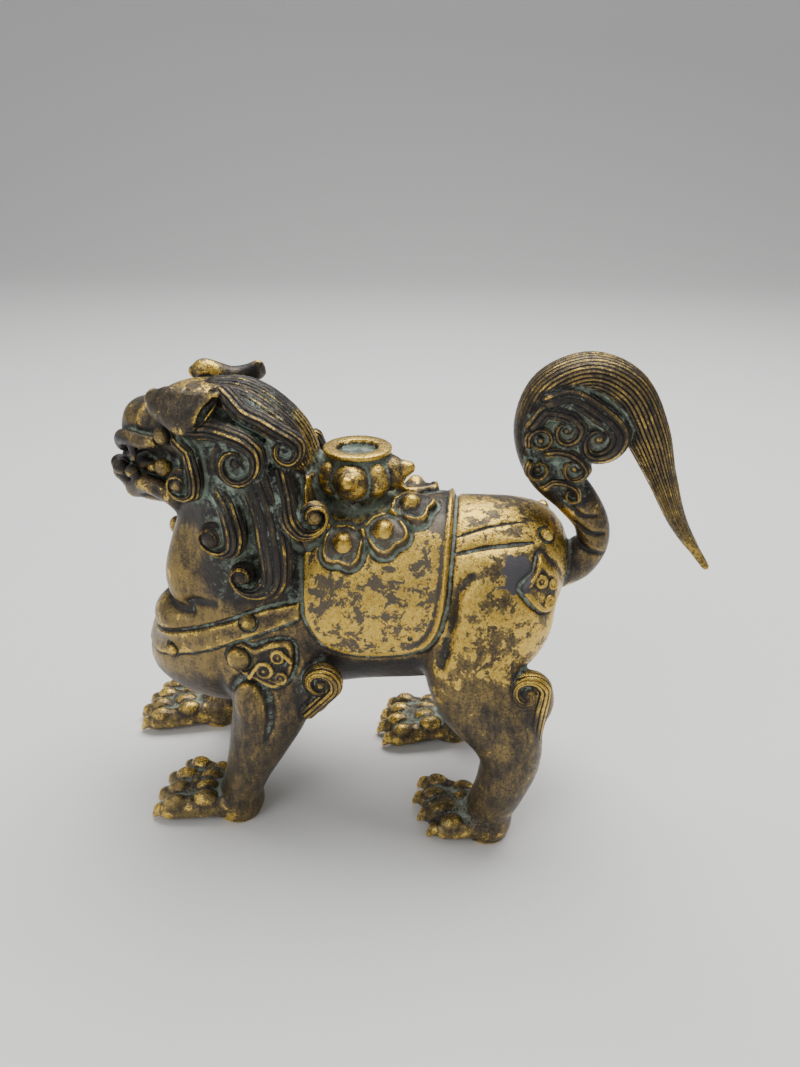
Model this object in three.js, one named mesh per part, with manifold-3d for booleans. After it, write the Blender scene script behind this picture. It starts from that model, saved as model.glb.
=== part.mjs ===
// A gilt bronze lion, cast in one piece: it walks with its head a little turned, jaws open, a curled mane, a
// saddle cloth and straps, a lotus stand with a flat ring on its back, and a plumed tail raised over the rump.
// Millimetres, Z up. The lion looks along -X; its left side faces -Y. The soles rest on Z = 0.

import * as THREE from "three";
import { mergeVertices } from "three/addons/utils/BufferGeometryUtils.js";
import Module from "manifold-3d";

const wasm = await Module();
wasm.setup();

const LEFT = -1;
const RIGHT = 1;

// Driving sizes of the whole figure. X is measured from the lion's own middle line of weight; the box of the
// finished casting is centred by BOX_MIDDLE.
const BOX_MIDDLE = [-3.6, 2.06];
const HEAD_TURN = THREE.MathUtils.degToRad(-6);
const HEAD_PIVOT_X = -58;

// How far the right paws stand ahead of the left ones, and the height over which each leg leans to get there.
const RIGHT_FORE_STRIDE = -26;
const FORE_LEAN_TOP = 82;
const RIGHT_HIND_STRIDE = -16;
const HIND_LEAN_TOP = 67;

// Sections of the body across X: [x, y, z, half width, half height].
const TRUNK = [
  [-94.5, 0, 61.5, 4, 5],
  [-92, 0, 62, 12, 10.5],
  [-85, 0, 64, 21, 16.3],
  [-75, 0, 67, 26.5, 24.6],
  [-60, 0, 75, 30.5, 36],
  [-38, 0, 83, 30, 38],
  [-12, 0, 87, 28.2, 35.5],
  [14, 0, 89, 28, 34.2],
  [37, 0, 91, 28, 32],
  [48, 0, 96, 26, 26.3],
  [55, 0, 100, 21.5, 20],
  [60.5, 0, 103, 14, 12.6],
  [63.5, 0, 103.5, 5, 5],
];

// Sections of the neck with the mass of the mane, across Z: [x, y, z, half depth along X, half width along Y].
const NECK = [
  [-58, 0, 66, 20, 20],
  [-54.5, 0, 90, 29, 28],
  [-51.5, 0, 110, 30, 30.5],
  [-49.5, 0, 126, 26, 31],
  [-51.5, 0, 140, 24, 28.5],
  [-54.5, 0, 151, 20.5, 23],
  [-57, 0, 160, 15, 16],
  [-59, 0, 165, 7, 8],
];

// Sections of a leg, drawn for the left side: [x, y, z, half depth along X, half thickness along Y].
const FORE_LEG = [
  [-42, -17, 82, 19, 14],
  [-41.5, -22, 66, 17, 12.5],
  [-42, -26, 52, 14.6, 11],
  [-46.5, -28, 38, 11.6, 9.8],
  [-52, -28.5, 23, 8.2, 8.8],
  [-55.5, -28, 12, 6.6, 7.8],
  [-59, -27.3, -3, 5.4, 4.6],
];
const HIND_LEG = [
  [39, -12, 106, 18, 13],
  [37, -17.5, 91, 21.5, 14],
  [32, -22.5, 76, 18.5, 13.3],
  [34.5, -26.5, 62, 16.5, 12],
  [43, -28.5, 49, 13.8, 11],
  [46, -29.5, 37, 11, 10.2],
  [43.5, -29.5, 24, 9.2, 9.6],
  [40, -28, 12, 7.8, 8.2],
  [37.5, -27.5, -3, 5.6, 4.8],
];

// A hair tuft behind each hock and a curl of hair behind each elbow, drawn for the left side.
const HOCK_TUFT = { at: [50.5, -31.5, 62.5], radius: 9.5, fall: 17 };
const ELBOW_CURL = { at: [-21.5, -33, 64], radius: 7.5 };

// A paw in its own frame points along -X from the ankle over the origin. Its toes fan out from a point behind
// the ankle; TOE_BACK is [share of the way to the tip, height] along the back of a toe.
const SOLE_BELOW = -2;
const TOES = 4;
const TOE_SAMPLES = 3;
const PAW_FAN = THREE.MathUtils.degToRad(42);
const PAW_ROOT = 22;
const PAW_REACH = 53;
const HEEL_RADIUS = 8.6;
const HEEL_HEIGHT = 10.4;
const TOE_SCALLOP = 5;
const TOE_VALLEY = 0.62;
const TOE_BACK = [
  [0.36, 12.5],
  [0.56, 15.6],
  [0.71, 12.4],
  [0.84, 13],
  [0.94, 5.6],
  [1, 2],
];
const PAWS = [
  { side: LEFT, x: -60.5, y: 27, turn: -8, reach: 1.06 },
  { side: RIGHT, x: -86.5, y: 28, turn: 0, reach: 1.1 },
  { side: LEFT, x: 36, y: 28, turn: -11, reach: 1.02 },
  { side: RIGHT, x: 20, y: 28.5, turn: 1, reach: 1.05 },
];

// The head: sections across X before it is turned, [x, y, z, half width, half height].
const SKULL = [
  [-48, 0, 150, 14, 12],
  [-58, 0, 151.5, 19.5, 14.5],
  [-70, 0, 151, 18, 14.5],
  [-79, 0, 151, 14.5, 12],
  [-86, 0, 150, 12, 9],
  [-92, 0, 147.5, 9.5, 6.5],
];
const JAW = [
  [-68, 0, 128, 14, 9],
  [-80, 0, 125.5, 12, 6],
  [-89, 0, 127, 11, 4.6],
  [-96.5, 0, 129.5, 9, 4.8],
  [-100, 0, 131.5, 6.5, 4.4],
];
const LIP_ROLL = [
  [-73, -15.5, 144, 2.6, 2.6],
  [-84, -13.5, 145, 3.2, 3.2],
  [-92, -9.5, 144.5, 3.8, 3.8],
  [-95, -1, 143.5, 4.6, 4.6],
];
const EAR = [
  [-78, -12, 160, 3.6, 3.4],
  [-74, -15, 160, 6.4, 5.2],
  [-66, -19, 159.5, 8, 5.6],
  [-58.5, -22, 161.5, 6.4, 4.2],
  [-51.5, -24.5, 165.5, 1.6, 1.2],
];

// Locks of the mane on the left: where the strand runs, then its curl as seen from outside. The curl starts at
// the angle from (degrees, zero to the right, ninety up) and turns with spin, 1 for anticlockwise; tight is how
// much smaller it is after a full turn. The right side repeats those with a drop, lower by that much.
const LOCKS = [
  {
    strand: [[-56, -15, 163], [-46, -20.5, 160]],
    half: 3.8, curl: [-30.2, -25.5, 151.6], radius: 8.6, from: 105, spin: -1, tight: 0.6, face: [0.3, -1, 0.15],
  },
  {
    strand: [[-62, -19, 156], [-52, -25, 157]],
    half: 4.2, curl: [-43.2, -29.5, 149], radius: 11, from: 75, spin: -1, tight: 0.52, face: [0, -1, 0.15],
    drop: 13,
  },
  {
    strand: [[-67, -19.5, 153], [-61.5, -24, 148]],
    half: 3.4, curl: [-65, -26.5, 139.5], radius: 8.8, from: 20, spin: -1, tight: 0.33, face: [-0.2, -1, 0],
    drop: 0,
  },
  {
    strand: [[-52.5, -26, 141], [-48.5, -30, 131]],
    half: 3.8, curl: [-55, -31, 120.5], radius: 10.5, from: 10, spin: -1, tight: 0.3, face: [-0.15, -1, -0.1],
  },
  {
    strand: [[-39, -30, 141], [-35.6, -33, 130], [-34.5, -33.5, 118]],
    half: 5.8, curl: [-44.8, -32.5, 110.4], radius: 16, from: 0, spin: -1, tight: 0.2, face: [0, -1, -0.1],
    drop: 8,
  },
  {
    strand: [[-32.5, -27, 143], [-29, -30, 136]],
    half: 3.4, curl: [-20.8, -30.5, 132.4], radius: 10.5, from: 185, spin: 1, tight: 0.32, face: [0.3, -1, 0],
    drop: 6,
  },
  {
    strand: [[-51, -5, 160], [-43, -7.5, 157]],
    half: 4.6, curl: [-34.5, -9.5, 145.5], radius: 8.5, from: 100, spin: 1, tight: 0.5, face: [1, -0.45, 0.45],
    drop: 12,
  },
];

// The tail in the middle plane: [x, y, z, half width in the plane, half thickness along Y].
const TAIL = [
  [60, 0, 101, 8, 8],
  [66.5, 0, 104.5, 7.2, 7.4],
  [70.8, 0, 111.5, 6, 6.6],
  [69.8, 0, 119.5, 6, 6.4],
  [63.2, 0, 128.6, 7, 6.8],
  [53.2, 0, 138.5, 7.4, 7.2],
  [48, 0, 152, 6.8, 7.6],
  [52.4, 0, 165, 7.6, 8],
  [64.5, 0, 171.1, 7.8, 8],
  [76.6, 0, 165.6, 8, 7.6],
  [85.3, 0, 151.5, 6.6, 6.6],
  [92.3, 0, 136, 4.4, 5.2],
  [99.8, 0, 119.6, 3.1, 3.8],
  [111.6, 0, 104.8, 1.6, 1.8],
];
const TAIL_FILLS = [
  { at: [58.5, 0, 150], radii: [12.5, 6.5, 17] },
  { at: [68, 0, 153], radii: [9.5, 5, 9.5] },
];

// Every curl: how far it turns, in how many steps, and the ribbon's half width as a share of its reach.
const CURL_TURNS = 0.86;
const CURL_STEPS = 5;
const RIBBON_SHARE = 0.33;

// Curls on the plume's inner side; each runs through its whole thickness.
const TAIL_CURLS = [
  {
    strand: [[56, 0, 163], [64, 0, 164.5]],
    half: 3.2, depth: 9, curl: [68, 0, 152.6], radius: 11.5, from: 50, spin: -1, tight: 0.55, face: [0, -1, 0],
  },
  { strand: [], half: 3, depth: 8.6, curl: [58, 0, 154], radius: 8.6, from: 190, spin: -1, tight: 0.55, face: [0, -1, 0] },
  { strand: [], half: 2.6, depth: 8.2, curl: [61, 0, 140.5], radius: 6.4, from: 170, spin: -1, tight: 0.6, face: [0, -1, 0] },
];

// The lotus stand on the back: its middle, and [radius, height] of its profile.
const STAND_X = -11.8;
const STAND_PROFILE = [
  [0, 112],
  [9.4, 112],
  [9.4, 127],
  [12.9, 132],
  [13, 137.5],
  [10, 141],
  [11.5, 141.8],
  [11.5, 143.6],
  [7.2, 143.6],
  [6.7, 141.2],
  [0, 141.2],
];
const STAND_SIDES = 14;
const BUDS = 4;
const BUD_FIRST = THREE.MathUtils.degToRad(-93);
const BUD_RADIUS = 5.9;

// Lotus petals hang around the stand over an oval of the back; those that would lie under the mane are left out.
const PETALS = 6;
const PETAL_FIRST = THREE.MathUtils.degToRad(-96);
const PETAL_STEP = THREE.MathUtils.degToRad(40);
const PETAL_OVAL = [22.5, 19.5];

// Saddle cloth: a flap with a half oval hem on each side; and how far cloth and straps stand proud.
const CLOTH_FRONT_X = -27.3;
const CLOTH_REAR_X = 22;
const CLOTH_HEM_Z = 75.4;
const CLOTH_HEM_RISE = 19;
const CLOTH_PROUD = 1.6;

// Straps as bands in side view: [x, z of the upper edge, z of the lower edge].
const BREAST_STRAP = [
  [-100, 77, 66.5],
  [-84, 78, 68.5],
  [-65, 83.5, 75.6],
  [-41, 93.7, 86.3],
  [-27, 96.6, 91],
];
const CRUPPER = [
  [21, 117.3, 111.8],
  [38, 118.8, 114.2],
  [52, 119, 115],
];
const STUDS = [
  { at: [-46.1, -30.2, 86.5], radius: 2.9 },
  { at: [-75.6, -26.6, 75.2], radius: 2.6 },
  { at: [50.6, -12.6, 115.2], radius: 3.1 },
];

// Solid helpers

function solidOf(geometry) {
  const bare = geometry.clone();
  bare.deleteAttribute("normal");
  bare.deleteAttribute("uv");
  const merged = mergeVertices(bare, 1e-4);
  const corners = merged.index.array;
  const kept = [];
  for (let i = 0; i < corners.length; i += 3) {
    const [a, b, c] = [corners[i], corners[i + 1], corners[i + 2]];
    if (a !== b && b !== c && c !== a) kept.push(a, b, c);
  }
  return closedSolid(Array.from(merged.attributes.position.array), kept);
}

// A closed surface as a solid with its faces turned outward, whichever way they were wound.
function closedSolid(positions, corners) {
  const at = (i) => new THREE.Vector3().fromArray(positions, 3 * i);
  let sixVolumes = 0;
  for (let i = 0; i < corners.length; i += 3) {
    sixVolumes += at(corners[i]).dot(at(corners[i + 1]).cross(at(corners[i + 2])));
  }
  const triVerts = Uint32Array.from(corners);
  if (sixVolumes < 0) {
    for (let i = 0; i < triVerts.length; i += 3) {
      [triVerts[i + 1], triVerts[i + 2]] = [triVerts[i + 2], triVerts[i + 1]];
    }
  }
  const vertProperties = Float32Array.from(positions);
  return new wasm.Manifold(new wasm.Mesh({ numProp: 3, vertProperties, triVerts }));
}

function joined(solids) {
  let row = [...solids];
  while (row.length > 1) {
    const next = [];
    for (let i = 0; i < row.length; i += 2) {
      next.push(i + 1 < row.length ? row[i].add(row[i + 1]) : row[i]);
    }
    row = next;
  }
  return row[0];
}

// A closed skin over rings of equally many points, each end shut by a fan.
function lofted(rings) {
  const sides = rings[0].length;
  const positions = [];
  const corners = [];
  for (const ring of rings) {
    for (const point of ring) positions.push(point.x, point.y, point.z);
  }
  for (let r = 0; r + 1 < rings.length; r += 1) {
    for (let s = 0; s < sides; s += 1) {
      const a = r * sides + s;
      const b = r * sides + ((s + 1) % sides);
      corners.push(a, b, b + sides, a, b + sides, a + sides);
    }
  }
  const shut = (ring, first, flip) => {
    const middle = ring.reduce((sum, point) => sum.add(point), new THREE.Vector3()).divideScalar(sides);
    const hub = positions.length / 3;
    positions.push(middle.x, middle.y, middle.z);
    for (let s = 0; s < sides; s += 1) {
      const a = first + s;
      const b = first + ((s + 1) % sides);
      corners.push(...(flip ? [hub, b, a] : [hub, a, b]));
    }
  };
  shut(rings[0], 0, true);
  shut(rings[rings.length - 1], (rings.length - 1) * sides, false);
  return closedSolid(positions, corners);
}

// Points along a smooth line through the stations, each with its direction and half sizes.
function stationsAlong(stations, steps) {
  const places = stations.map(([x, y, z]) => new THREE.Vector3(x, y, z));
  const halves = stations.map(([, , , w, h]) => new THREE.Vector3(w, h, 0));
  const line = new THREE.CatmullRomCurve3(places, false, "catmullrom", 0.5);
  const sizes = new THREE.CatmullRomCurve3(halves, false, "catmullrom", 0.5);
  return Array.from({ length: steps + 1 }, (_, i) => {
    const size = sizes.getPoint(i / steps);
    return { place: line.getPoint(i / steps), heading: line.getTangent(i / steps), w: size.x, h: size.y };
  });
}

// The ring of a sweep at one station: half width w across, half height h along the facing direction.
function ringAt({ place, heading, w, h }, facing, sides) {
  const out = facing.clone().addScaledVector(heading, -facing.dot(heading)).normalize();
  const across = new THREE.Vector3().crossVectors(heading, out);
  return Array.from({ length: sides }, (_, i) => {
    const angle = ((i + 0.5) * 2 * Math.PI) / sides;
    return place.clone().addScaledVector(across, w * Math.cos(angle)).addScaledVector(out, h * Math.sin(angle));
  });
}

// A round-ended limb through stations [x, y, z, half width, half height].
function limb(stations, facing, { sides = 8, steps = stations.length * 2, dome = 0.7 } = {}) {
  const rows = stationsAlong(stations, steps);
  const domed = (row, direction) => ({
    ...row,
    place: row.place.clone().addScaledVector(row.heading, direction * dome * Math.min(row.w, row.h)),
    w: row.w * 0.55,
    h: row.h * 0.55,
  });
  const all = dome > 0 ? [domed(rows[0], -1), ...rows, domed(rows[rows.length - 1], 1)] : rows;
  return lofted(all.map((row) => ringAt(row, facing, sides)));
}

// A low-sided ball with its own radii, turned about Z and then moved.
function ball([x, y, z], [rx, ry, rz], { around = 8, rows = 5, turn = 0 } = {}) {
  const shape = new THREE.SphereGeometry(1, around, rows);
  shape.rotateX(Math.PI / 2).scale(rx, ry, rz).rotateZ(turn).translate(x, y, z);
  return solidOf(shape);
}

// A solid of revolution about the Z axis from [radius, height] pairs that start and end on the axis.
function turned(profile, around) {
  const shape = new THREE.LatheGeometry(profile.map(([r, z]) => new THREE.Vector2(r, z)), around);
  return solidOf(shape.rotateX(Math.PI / 2));
}

function mirrored(solid) {
  return solid.mirror([0, 1, 0]);
}

function bothSides(solids) {
  return [...solids, ...solids.map(mirrored)];
}

const ALONG_X = new THREE.Vector3(1, 0, 0);
const ALONG_Y = new THREE.Vector3(0, 1, 0);
const ALONG_Z = new THREE.Vector3(0, 0, 1);

// Body and neck

function trunk(swell = 0) {
  const stations = TRUNK.map(([x, y, z, w, h]) => [x, y, z, w + swell, h + swell]);
  return limb(stations, ALONG_Z, { sides: 14, steps: 11, dome: 0 });
}

function neck() {
  return limb(NECK, ALONG_Y, { sides: 10, steps: 7, dome: 0 });
}

// Legs

function leaning(stations, stride, top, power, side) {
  return stations.map(([x, y, z, w, h]) => {
    const reach = Math.max(0, (top - z) / top) ** power;
    return [x + (side === RIGHT ? stride * reach : 0), -side * y, z, w, h];
  });
}

function foreLeg(side) {
  const stations = leaning(FORE_LEG, RIGHT_FORE_STRIDE, FORE_LEAN_TOP, 1, side);
  return limb(stations, ALONG_Y, { sides: 9, steps: 7, dome: 0 });
}

function hindLeg(side) {
  const stations = leaning(HIND_LEG, RIGHT_HIND_STRIDE, HIND_LEAN_TOP, 1.4, side);
  return limb(stations, ALONG_Y, { sides: 10, steps: 8, dome: 0 });
}

// A paw is a ridged fan over a flat sole: each toe is a lobe across it, with knuckles and a claw along it.
function pawRow(share, height, stretch) {
  const across = TOES * TOE_SAMPLES;
  return Array.from({ length: across + 1 }, (_, i) => {
    const u = (2 * i) / across - 1;
    const phase = ((i / TOE_SAMPLES) % 1) * 2 - 1;
    const lobe = Math.sqrt(1 - phase * phase * 0.999);
    const tip = PAW_ROOT + (PAW_REACH - PAW_ROOT) * stretch;
    const length = (tip * (1 - 0.12 * u * u) - TOE_SCALLOP * (1 - lobe)) * share;
    const rounding = THREE.MathUtils.lerp(0.5, 1, Math.sqrt(Math.max(0, 1 - u ** 6)));
    const valley = THREE.MathUtils.lerp(1, TOE_VALLEY, 1 - lobe);
    const angle = (u * PAW_FAN) / 2;
    const z = Math.max(1.5, height * rounding * (Math.abs(u) < 1 ? valley : 1));
    return new THREE.Vector3(PAW_ROOT - length * Math.cos(angle), -length * Math.sin(angle), z);
  });
}

function heelRow() {
  const across = TOES * TOE_SAMPLES;
  return Array.from({ length: across + 1 }, (_, i) => {
    const angle = Math.PI * (i / across - 0.5);
    return new THREE.Vector3(HEEL_RADIUS * Math.cos(angle), -HEEL_RADIUS * Math.sin(angle), HEEL_HEIGHT);
  });
}

function paw({ side, x, y, turn, reach }) {
  const rows = [heelRow(), ...TOE_BACK.map(([share, height]) => pawRow(share, height, reach))];
  const width = rows[0].length;
  const positions = rows.flat().flatMap((point) => point.toArray());
  const corners = [];
  for (let r = 0; r + 1 < rows.length; r += 1) {
    for (let i = 0; i + 1 < width; i += 1) {
      const a = r * width + i;
      corners.push(a, a + 1, a + 1 + width, a, a + 1 + width, a + width);
    }
  }
  const span = (count, pick) => Array.from({ length: count }, (_, i) => pick(i));
  const lastRow = (rows.length - 1) * width;
  const edge = [
    ...span(width - 1, (i) => i),
    ...span(rows.length - 1, (r) => r * width + width - 1),
    ...span(width - 1, (i) => lastRow + width - 1 - i),
    ...span(rows.length - 1, (r) => lastRow - r * width),
  ];
  const sole = positions.length / 3;
  for (const i of edge) positions.push(positions[3 * i], positions[3 * i + 1], SOLE_BELOW);
  const hub = positions.length / 3;
  positions.push(-PAW_ROOT / 2, 0, SOLE_BELOW);
  edge.forEach((a, k) => {
    const next = (k + 1) % edge.length;
    corners.push(a, sole + k, sole + next, a, sole + next, edge[next]);
    corners.push(hub, sole + next, sole + k);
  });
  return closedSolid(positions, corners).rotate([0, 0, turn]).translate([x, side * y, 0]);
}

// Curls of hair

// A strand that runs over its points, winds once round a flat spiral and closes on a bead.
function lock({ strand, half, depth = 4.2, curl, radius, from, spin, tight, face }) {
  const facing = new THREE.Vector3(...face).normalize();
  const right = new THREE.Vector3(-facing.y, facing.x, 0).normalize();
  const up = new THREE.Vector3().crossVectors(facing, right);
  const middle = new THREE.Vector3(...curl);
  const winding = Array.from({ length: CURL_STEPS + 1 }, (_, i) => {
    const turn = (i / CURL_STEPS) * CURL_TURNS;
    const angle = THREE.MathUtils.degToRad(from) + spin * turn * 2 * Math.PI;
    const size = radius * tight ** turn;
    const reach = (1 - RIBBON_SHARE) * size;
    const point = middle.clone();
    point.addScaledVector(right, reach * Math.cos(angle)).addScaledVector(up, reach * Math.sin(angle));
    return { place: point, w: RIBBON_SHARE * size, h: depth };
  });
  const run = strand.map((point) => ({ place: new THREE.Vector3(...point), w: half, h: depth }));
  const rows = [...run, ...winding];
  rows.forEach((row, i) => {
    const before = rows[Math.max(0, i - 1)].place;
    const after = rows[Math.min(rows.length - 1, i + 1)].place;
    row.heading = after.clone().sub(before).normalize();
  });
  const core = Math.max(1.8, radius * tight * 0.5);
  const bead = middle.addScaledVector(facing, depth * 0.3).toArray();
  return joined([
    lofted(rows.map((row) => ringAt(row, facing, 5))),
    ball(bead, [core, core, core], { around: 4, rows: 2 }),
  ]);
}

function mane() {
  const lowered = (shape) => mirrored(lock(shape)).translate([0, 0, -shape.drop]);
  return [...LOCKS.map(lock), ...LOCKS.filter((shape) => "drop" in shape).map(lowered)];
}

function hockTuft(side, lean) {
  const { at: [x, y, z], radius, fall } = HOCK_TUFT;
  return limb(
    [
      [x + lean, -side * y, z + radius * 0.6, radius * 0.55, 5],
      [x + 1 + lean, -side * y, z, radius * 0.95, 6.5],
      [x + 1 + lean, -side * (y + 1), z - fall * 0.5, radius * 0.8, 6.5],
      [x + lean * 1.5, -side * (y + 2), z - fall, radius * 0.4, 5],
    ],
    ALONG_Y,
    { sides: 6, steps: 3 },
  );
}

function elbowCurl() {
  const { at: [x, y, z], radius } = ELBOW_CURL;
  return lock({
    strand: [[x - 17, y + 7, z + 1], [x - 8, y + 3, z + 5]],
    half: 4.5, depth: 6, curl: [x, y, z], radius, from: 110, spin: -1, tight: 0.5, face: [0.2, -1, 0],
  });
}

// Head

function fang(x, y, z, length) {
  return limb([[x, y, z, 1.8, 1.8], [x + 1.2, y, z - length, 0.7, 0.7]], ALONG_Y, { sides: 4, steps: 1 });
}

function head() {
  const paired = [
    limb(EAR, ALONG_Y, { sides: 6, steps: 4 }),
    limb(LIP_ROLL, ALONG_Z, { sides: 5, steps: 3 }),
    ball([-77, -14.5, 149], [3.6, 3.6, 3.6], { around: 5, rows: 3 }),
    ball([-97.5, -5, 134], [3.8, 3.8, 3.6], { around: 4, rows: 3 }),
    fang(-91.5, -9.5, 142, 5.5),
  ];
  const single = [
    limb(SKULL, ALONG_Z, { sides: 10, steps: 5, dome: 0.6 }),
    limb(JAW, ALONG_Z, { sides: 7, steps: 4, dome: 0.8 }),
    ball([-88.5, 0, 151.5], [7, 8.5, 6.5], { around: 6, rows: 4 }),
    ball([-85, 0, 133.5], [10, 7, 5.5], { around: 6, rows: 3 }),
    ball([-74, 0, 138], [12, 12, 10.5], { around: 6, rows: 3 }),
  ];
  const pivot = [HEAD_PIVOT_X, 0, 0];
  return joined([...single, ...bothSides(paired)])
    .translate(pivot.map((value) => -value))
    .rotate([0, 0, THREE.MathUtils.radToDeg(HEAD_TURN)])
    .translate(pivot);
}

// Tail

function tail() {
  const stem = limb(TAIL, ALONG_Y, { sides: 8, steps: 16, dome: 0.5 });
  const fill = ({ at, radii }) => ball(at, radii, { around: 6, rows: 3 });
  return joined([stem, ...TAIL_FILLS.map(fill), ...TAIL_CURLS.map(lock)]);
}

// Lotus stand, petals, cloth and straps

function lotusStand() {
  const bulb = turned(STAND_PROFILE, STAND_SIDES).translate([STAND_X, 0, 0]);
  const buds = Array.from({ length: BUDS }, (_, i) => {
    const angle = BUD_FIRST + (i * 2 * Math.PI) / BUDS;
    const out = (distance) => [STAND_X + distance * Math.cos(angle), distance * Math.sin(angle)];
    return joined([
      ball([...out(12.5), 137], [BUD_RADIUS, BUD_RADIUS * 0.95, BUD_RADIUS], { around: 6, rows: 3, turn: angle }),
      ball([...out(18), 136.6], [3.4, 2.4, 2.4], { around: 4, rows: 2, turn: angle }),
    ]);
  });
  return joined([bulb, ...buds]);
}

// The height of the back over a point of the plan, from the trunk's sections.
function backHeight(x, y) {
  const next = TRUNK.findIndex((row) => row[0] >= x);
  const [a, b] = [TRUNK[next - 1], TRUNK[next]];
  const share = (x - a[0]) / (b[0] - a[0]);
  const [z, w, h] = [2, 3, 4].map((k) => THREE.MathUtils.lerp(a[k], b[k], share));
  return z + h * Math.sqrt(Math.max(0, 1 - (y / w) ** 2));
}

function petals() {
  return Array.from({ length: PETALS }, (_, i) => {
    const angle = PETAL_FIRST + i * PETAL_STEP;
    const out = (share) => {
      const x = STAND_X + share * PETAL_OVAL[0] * Math.cos(angle);
      const y = share * PETAL_OVAL[1] * Math.sin(angle);
      return [x, y, backHeight(x, y)];
    };
    const [x, y, z] = out(0.97);
    const tilt = new THREE.Vector3(0, y, (z - 87) * 0.7).normalize();
    return joined([
      limb([[...out(0.6), 6, 3.6], [...out(1.15), 7.5, 2.8]], tilt, { sides: 5, steps: 1, dome: 1.1 }),
      ball([x, y + tilt.y * 3, z + tilt.z * 3], [3.6, 3.6, 3.6], { around: 5, rows: 3 }),
    ]);
  });
}

// A closed outline in side view, run through the whole width of the body.
function through(shape) {
  const plate = new THREE.ExtrudeGeometry(shape, { depth: 80, bevelEnabled: false, curveSegments: 6 });
  return solidOf(plate.rotateX(Math.PI / 2).translate(0, 40, 0));
}

function bandShape(rows) {
  const upper = rows.map(([x, top]) => new THREE.Vector2(x, top));
  const lower = rows.map(([x, , bottom]) => new THREE.Vector2(x, bottom)).reverse();
  return new THREE.Shape([...upper, ...lower]);
}

function clothShape() {
  const shape = new THREE.Shape();
  const middle = (CLOTH_FRONT_X + CLOTH_REAR_X) / 2;
  const halfLength = (CLOTH_REAR_X - CLOTH_FRONT_X) / 2;
  const crown = 130;
  shape.moveTo(CLOTH_FRONT_X, crown);
  shape.lineTo(CLOTH_FRONT_X, CLOTH_HEM_Z + CLOTH_HEM_RISE);
  shape.absellipse(middle, CLOTH_HEM_Z + CLOTH_HEM_RISE, halfLength, CLOTH_HEM_RISE, Math.PI, 2 * Math.PI);
  shape.lineTo(CLOTH_REAR_X, crown);
  return shape;
}

function clothAndStraps() {
  const cut = joined([clothShape(), bandShape(BREAST_STRAP), bandShape(CRUPPER)].map(through));
  const studs = STUDS.map(({ at, radius }) => ball(at, [radius, radius, radius], { around: 6, rows: 3 }));
  return joined([trunk(CLOTH_PROUD).intersect(cut), ...bothSides(studs)]);
}

function pendants() {
  const rump = limb(
    [
      [51.3, -16.8, 111.8, 2.2, 2.5],
      [52.4, -20.5, 106, 5.6, 3],
      [54, -23.6, 100, 5, 3],
      [54.6, -25, 95.5, 1.5, 2],
    ],
    new THREE.Vector3(0.35, -1, 0.35),
    { sides: 6, steps: 3 },
  );
  const shoulder = limb(
    [
      [-51, -30, 76.5, 5, 4],
      [-43, -29.5, 74, 6, 4],
      [-34, -29.5, 73, 5, 4],
    ],
    ALONG_Y,
    { sides: 6, steps: 2 },
  );
  return [rump, shoulder];
}

// Assembly

function casting() {
  const parts = [trunk(), neck(), head(), tail(), lotusStand(), clothAndStraps(), ...petals(), ...mane()];
  for (const side of [LEFT, RIGHT]) parts.push(foreLeg(side), hindLeg(side));
  parts.push(...PAWS.map(paw), hockTuft(LEFT, 0), hockTuft(RIGHT, -2));
  parts.push(...bothSides([elbowCurl(), ...pendants()]));
  return joined(parts);
}

const whole = casting();
const aboveFloor = solidOf(new THREE.BoxGeometry(400, 200, 300).translate(0, 0, 150));
const mesh = whole.intersect(aboveFloor).getMesh();
const geometry = new THREE.BufferGeometry();
geometry.setAttribute("position", new THREE.BufferAttribute(mesh.vertProperties, 3));
geometry.setIndex(new THREE.BufferAttribute(mesh.triVerts, 1));
geometry.computeVertexNormals();
const gilt = new THREE.MeshStandardMaterial({ color: 0x8a6a2c, roughness: 0.45, metalness: 0.9 });
const lion = new THREE.Mesh(geometry, gilt);
lion.name = "lion";
lion.position.set(-BOX_MIDDLE[0], -BOX_MIDDLE[1], 0);

const group = new THREE.Group();
group.add(lion);
export default group;
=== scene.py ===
# A gilt bronze lion, cast in one piece, modelled as one closed skin with worn gilding, dark patina and
# verdigris. Sizes below are millimetres with Z up and the lion looking along -X, its left side facing -Y;
# BOX_MIDDLE moves them into the frame's own place.

import math

import bpy
import numpy as np
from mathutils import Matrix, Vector


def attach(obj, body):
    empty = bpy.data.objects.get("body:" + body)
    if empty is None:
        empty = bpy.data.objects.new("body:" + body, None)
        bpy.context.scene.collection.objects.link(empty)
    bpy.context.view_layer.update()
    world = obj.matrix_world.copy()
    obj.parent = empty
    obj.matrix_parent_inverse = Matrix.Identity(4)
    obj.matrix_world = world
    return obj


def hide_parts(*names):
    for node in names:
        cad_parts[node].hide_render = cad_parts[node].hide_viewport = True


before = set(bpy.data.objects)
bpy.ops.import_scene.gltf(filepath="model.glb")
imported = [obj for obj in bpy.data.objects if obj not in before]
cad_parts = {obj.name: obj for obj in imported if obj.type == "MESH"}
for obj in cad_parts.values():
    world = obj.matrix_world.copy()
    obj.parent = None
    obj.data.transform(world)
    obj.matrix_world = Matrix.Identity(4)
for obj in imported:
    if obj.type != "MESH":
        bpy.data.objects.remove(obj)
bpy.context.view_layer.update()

BOX_MIDDLE = (-3.6, 2.06)
MM = 0.001
LEFT, RIGHT = -1, 1
SIDES = (LEFT, RIGHT)

# The head is drawn straight and turned about an upright line at this x.
HEAD_TURN = math.radians(-6)
HEAD_PIVOT = -58

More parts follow.
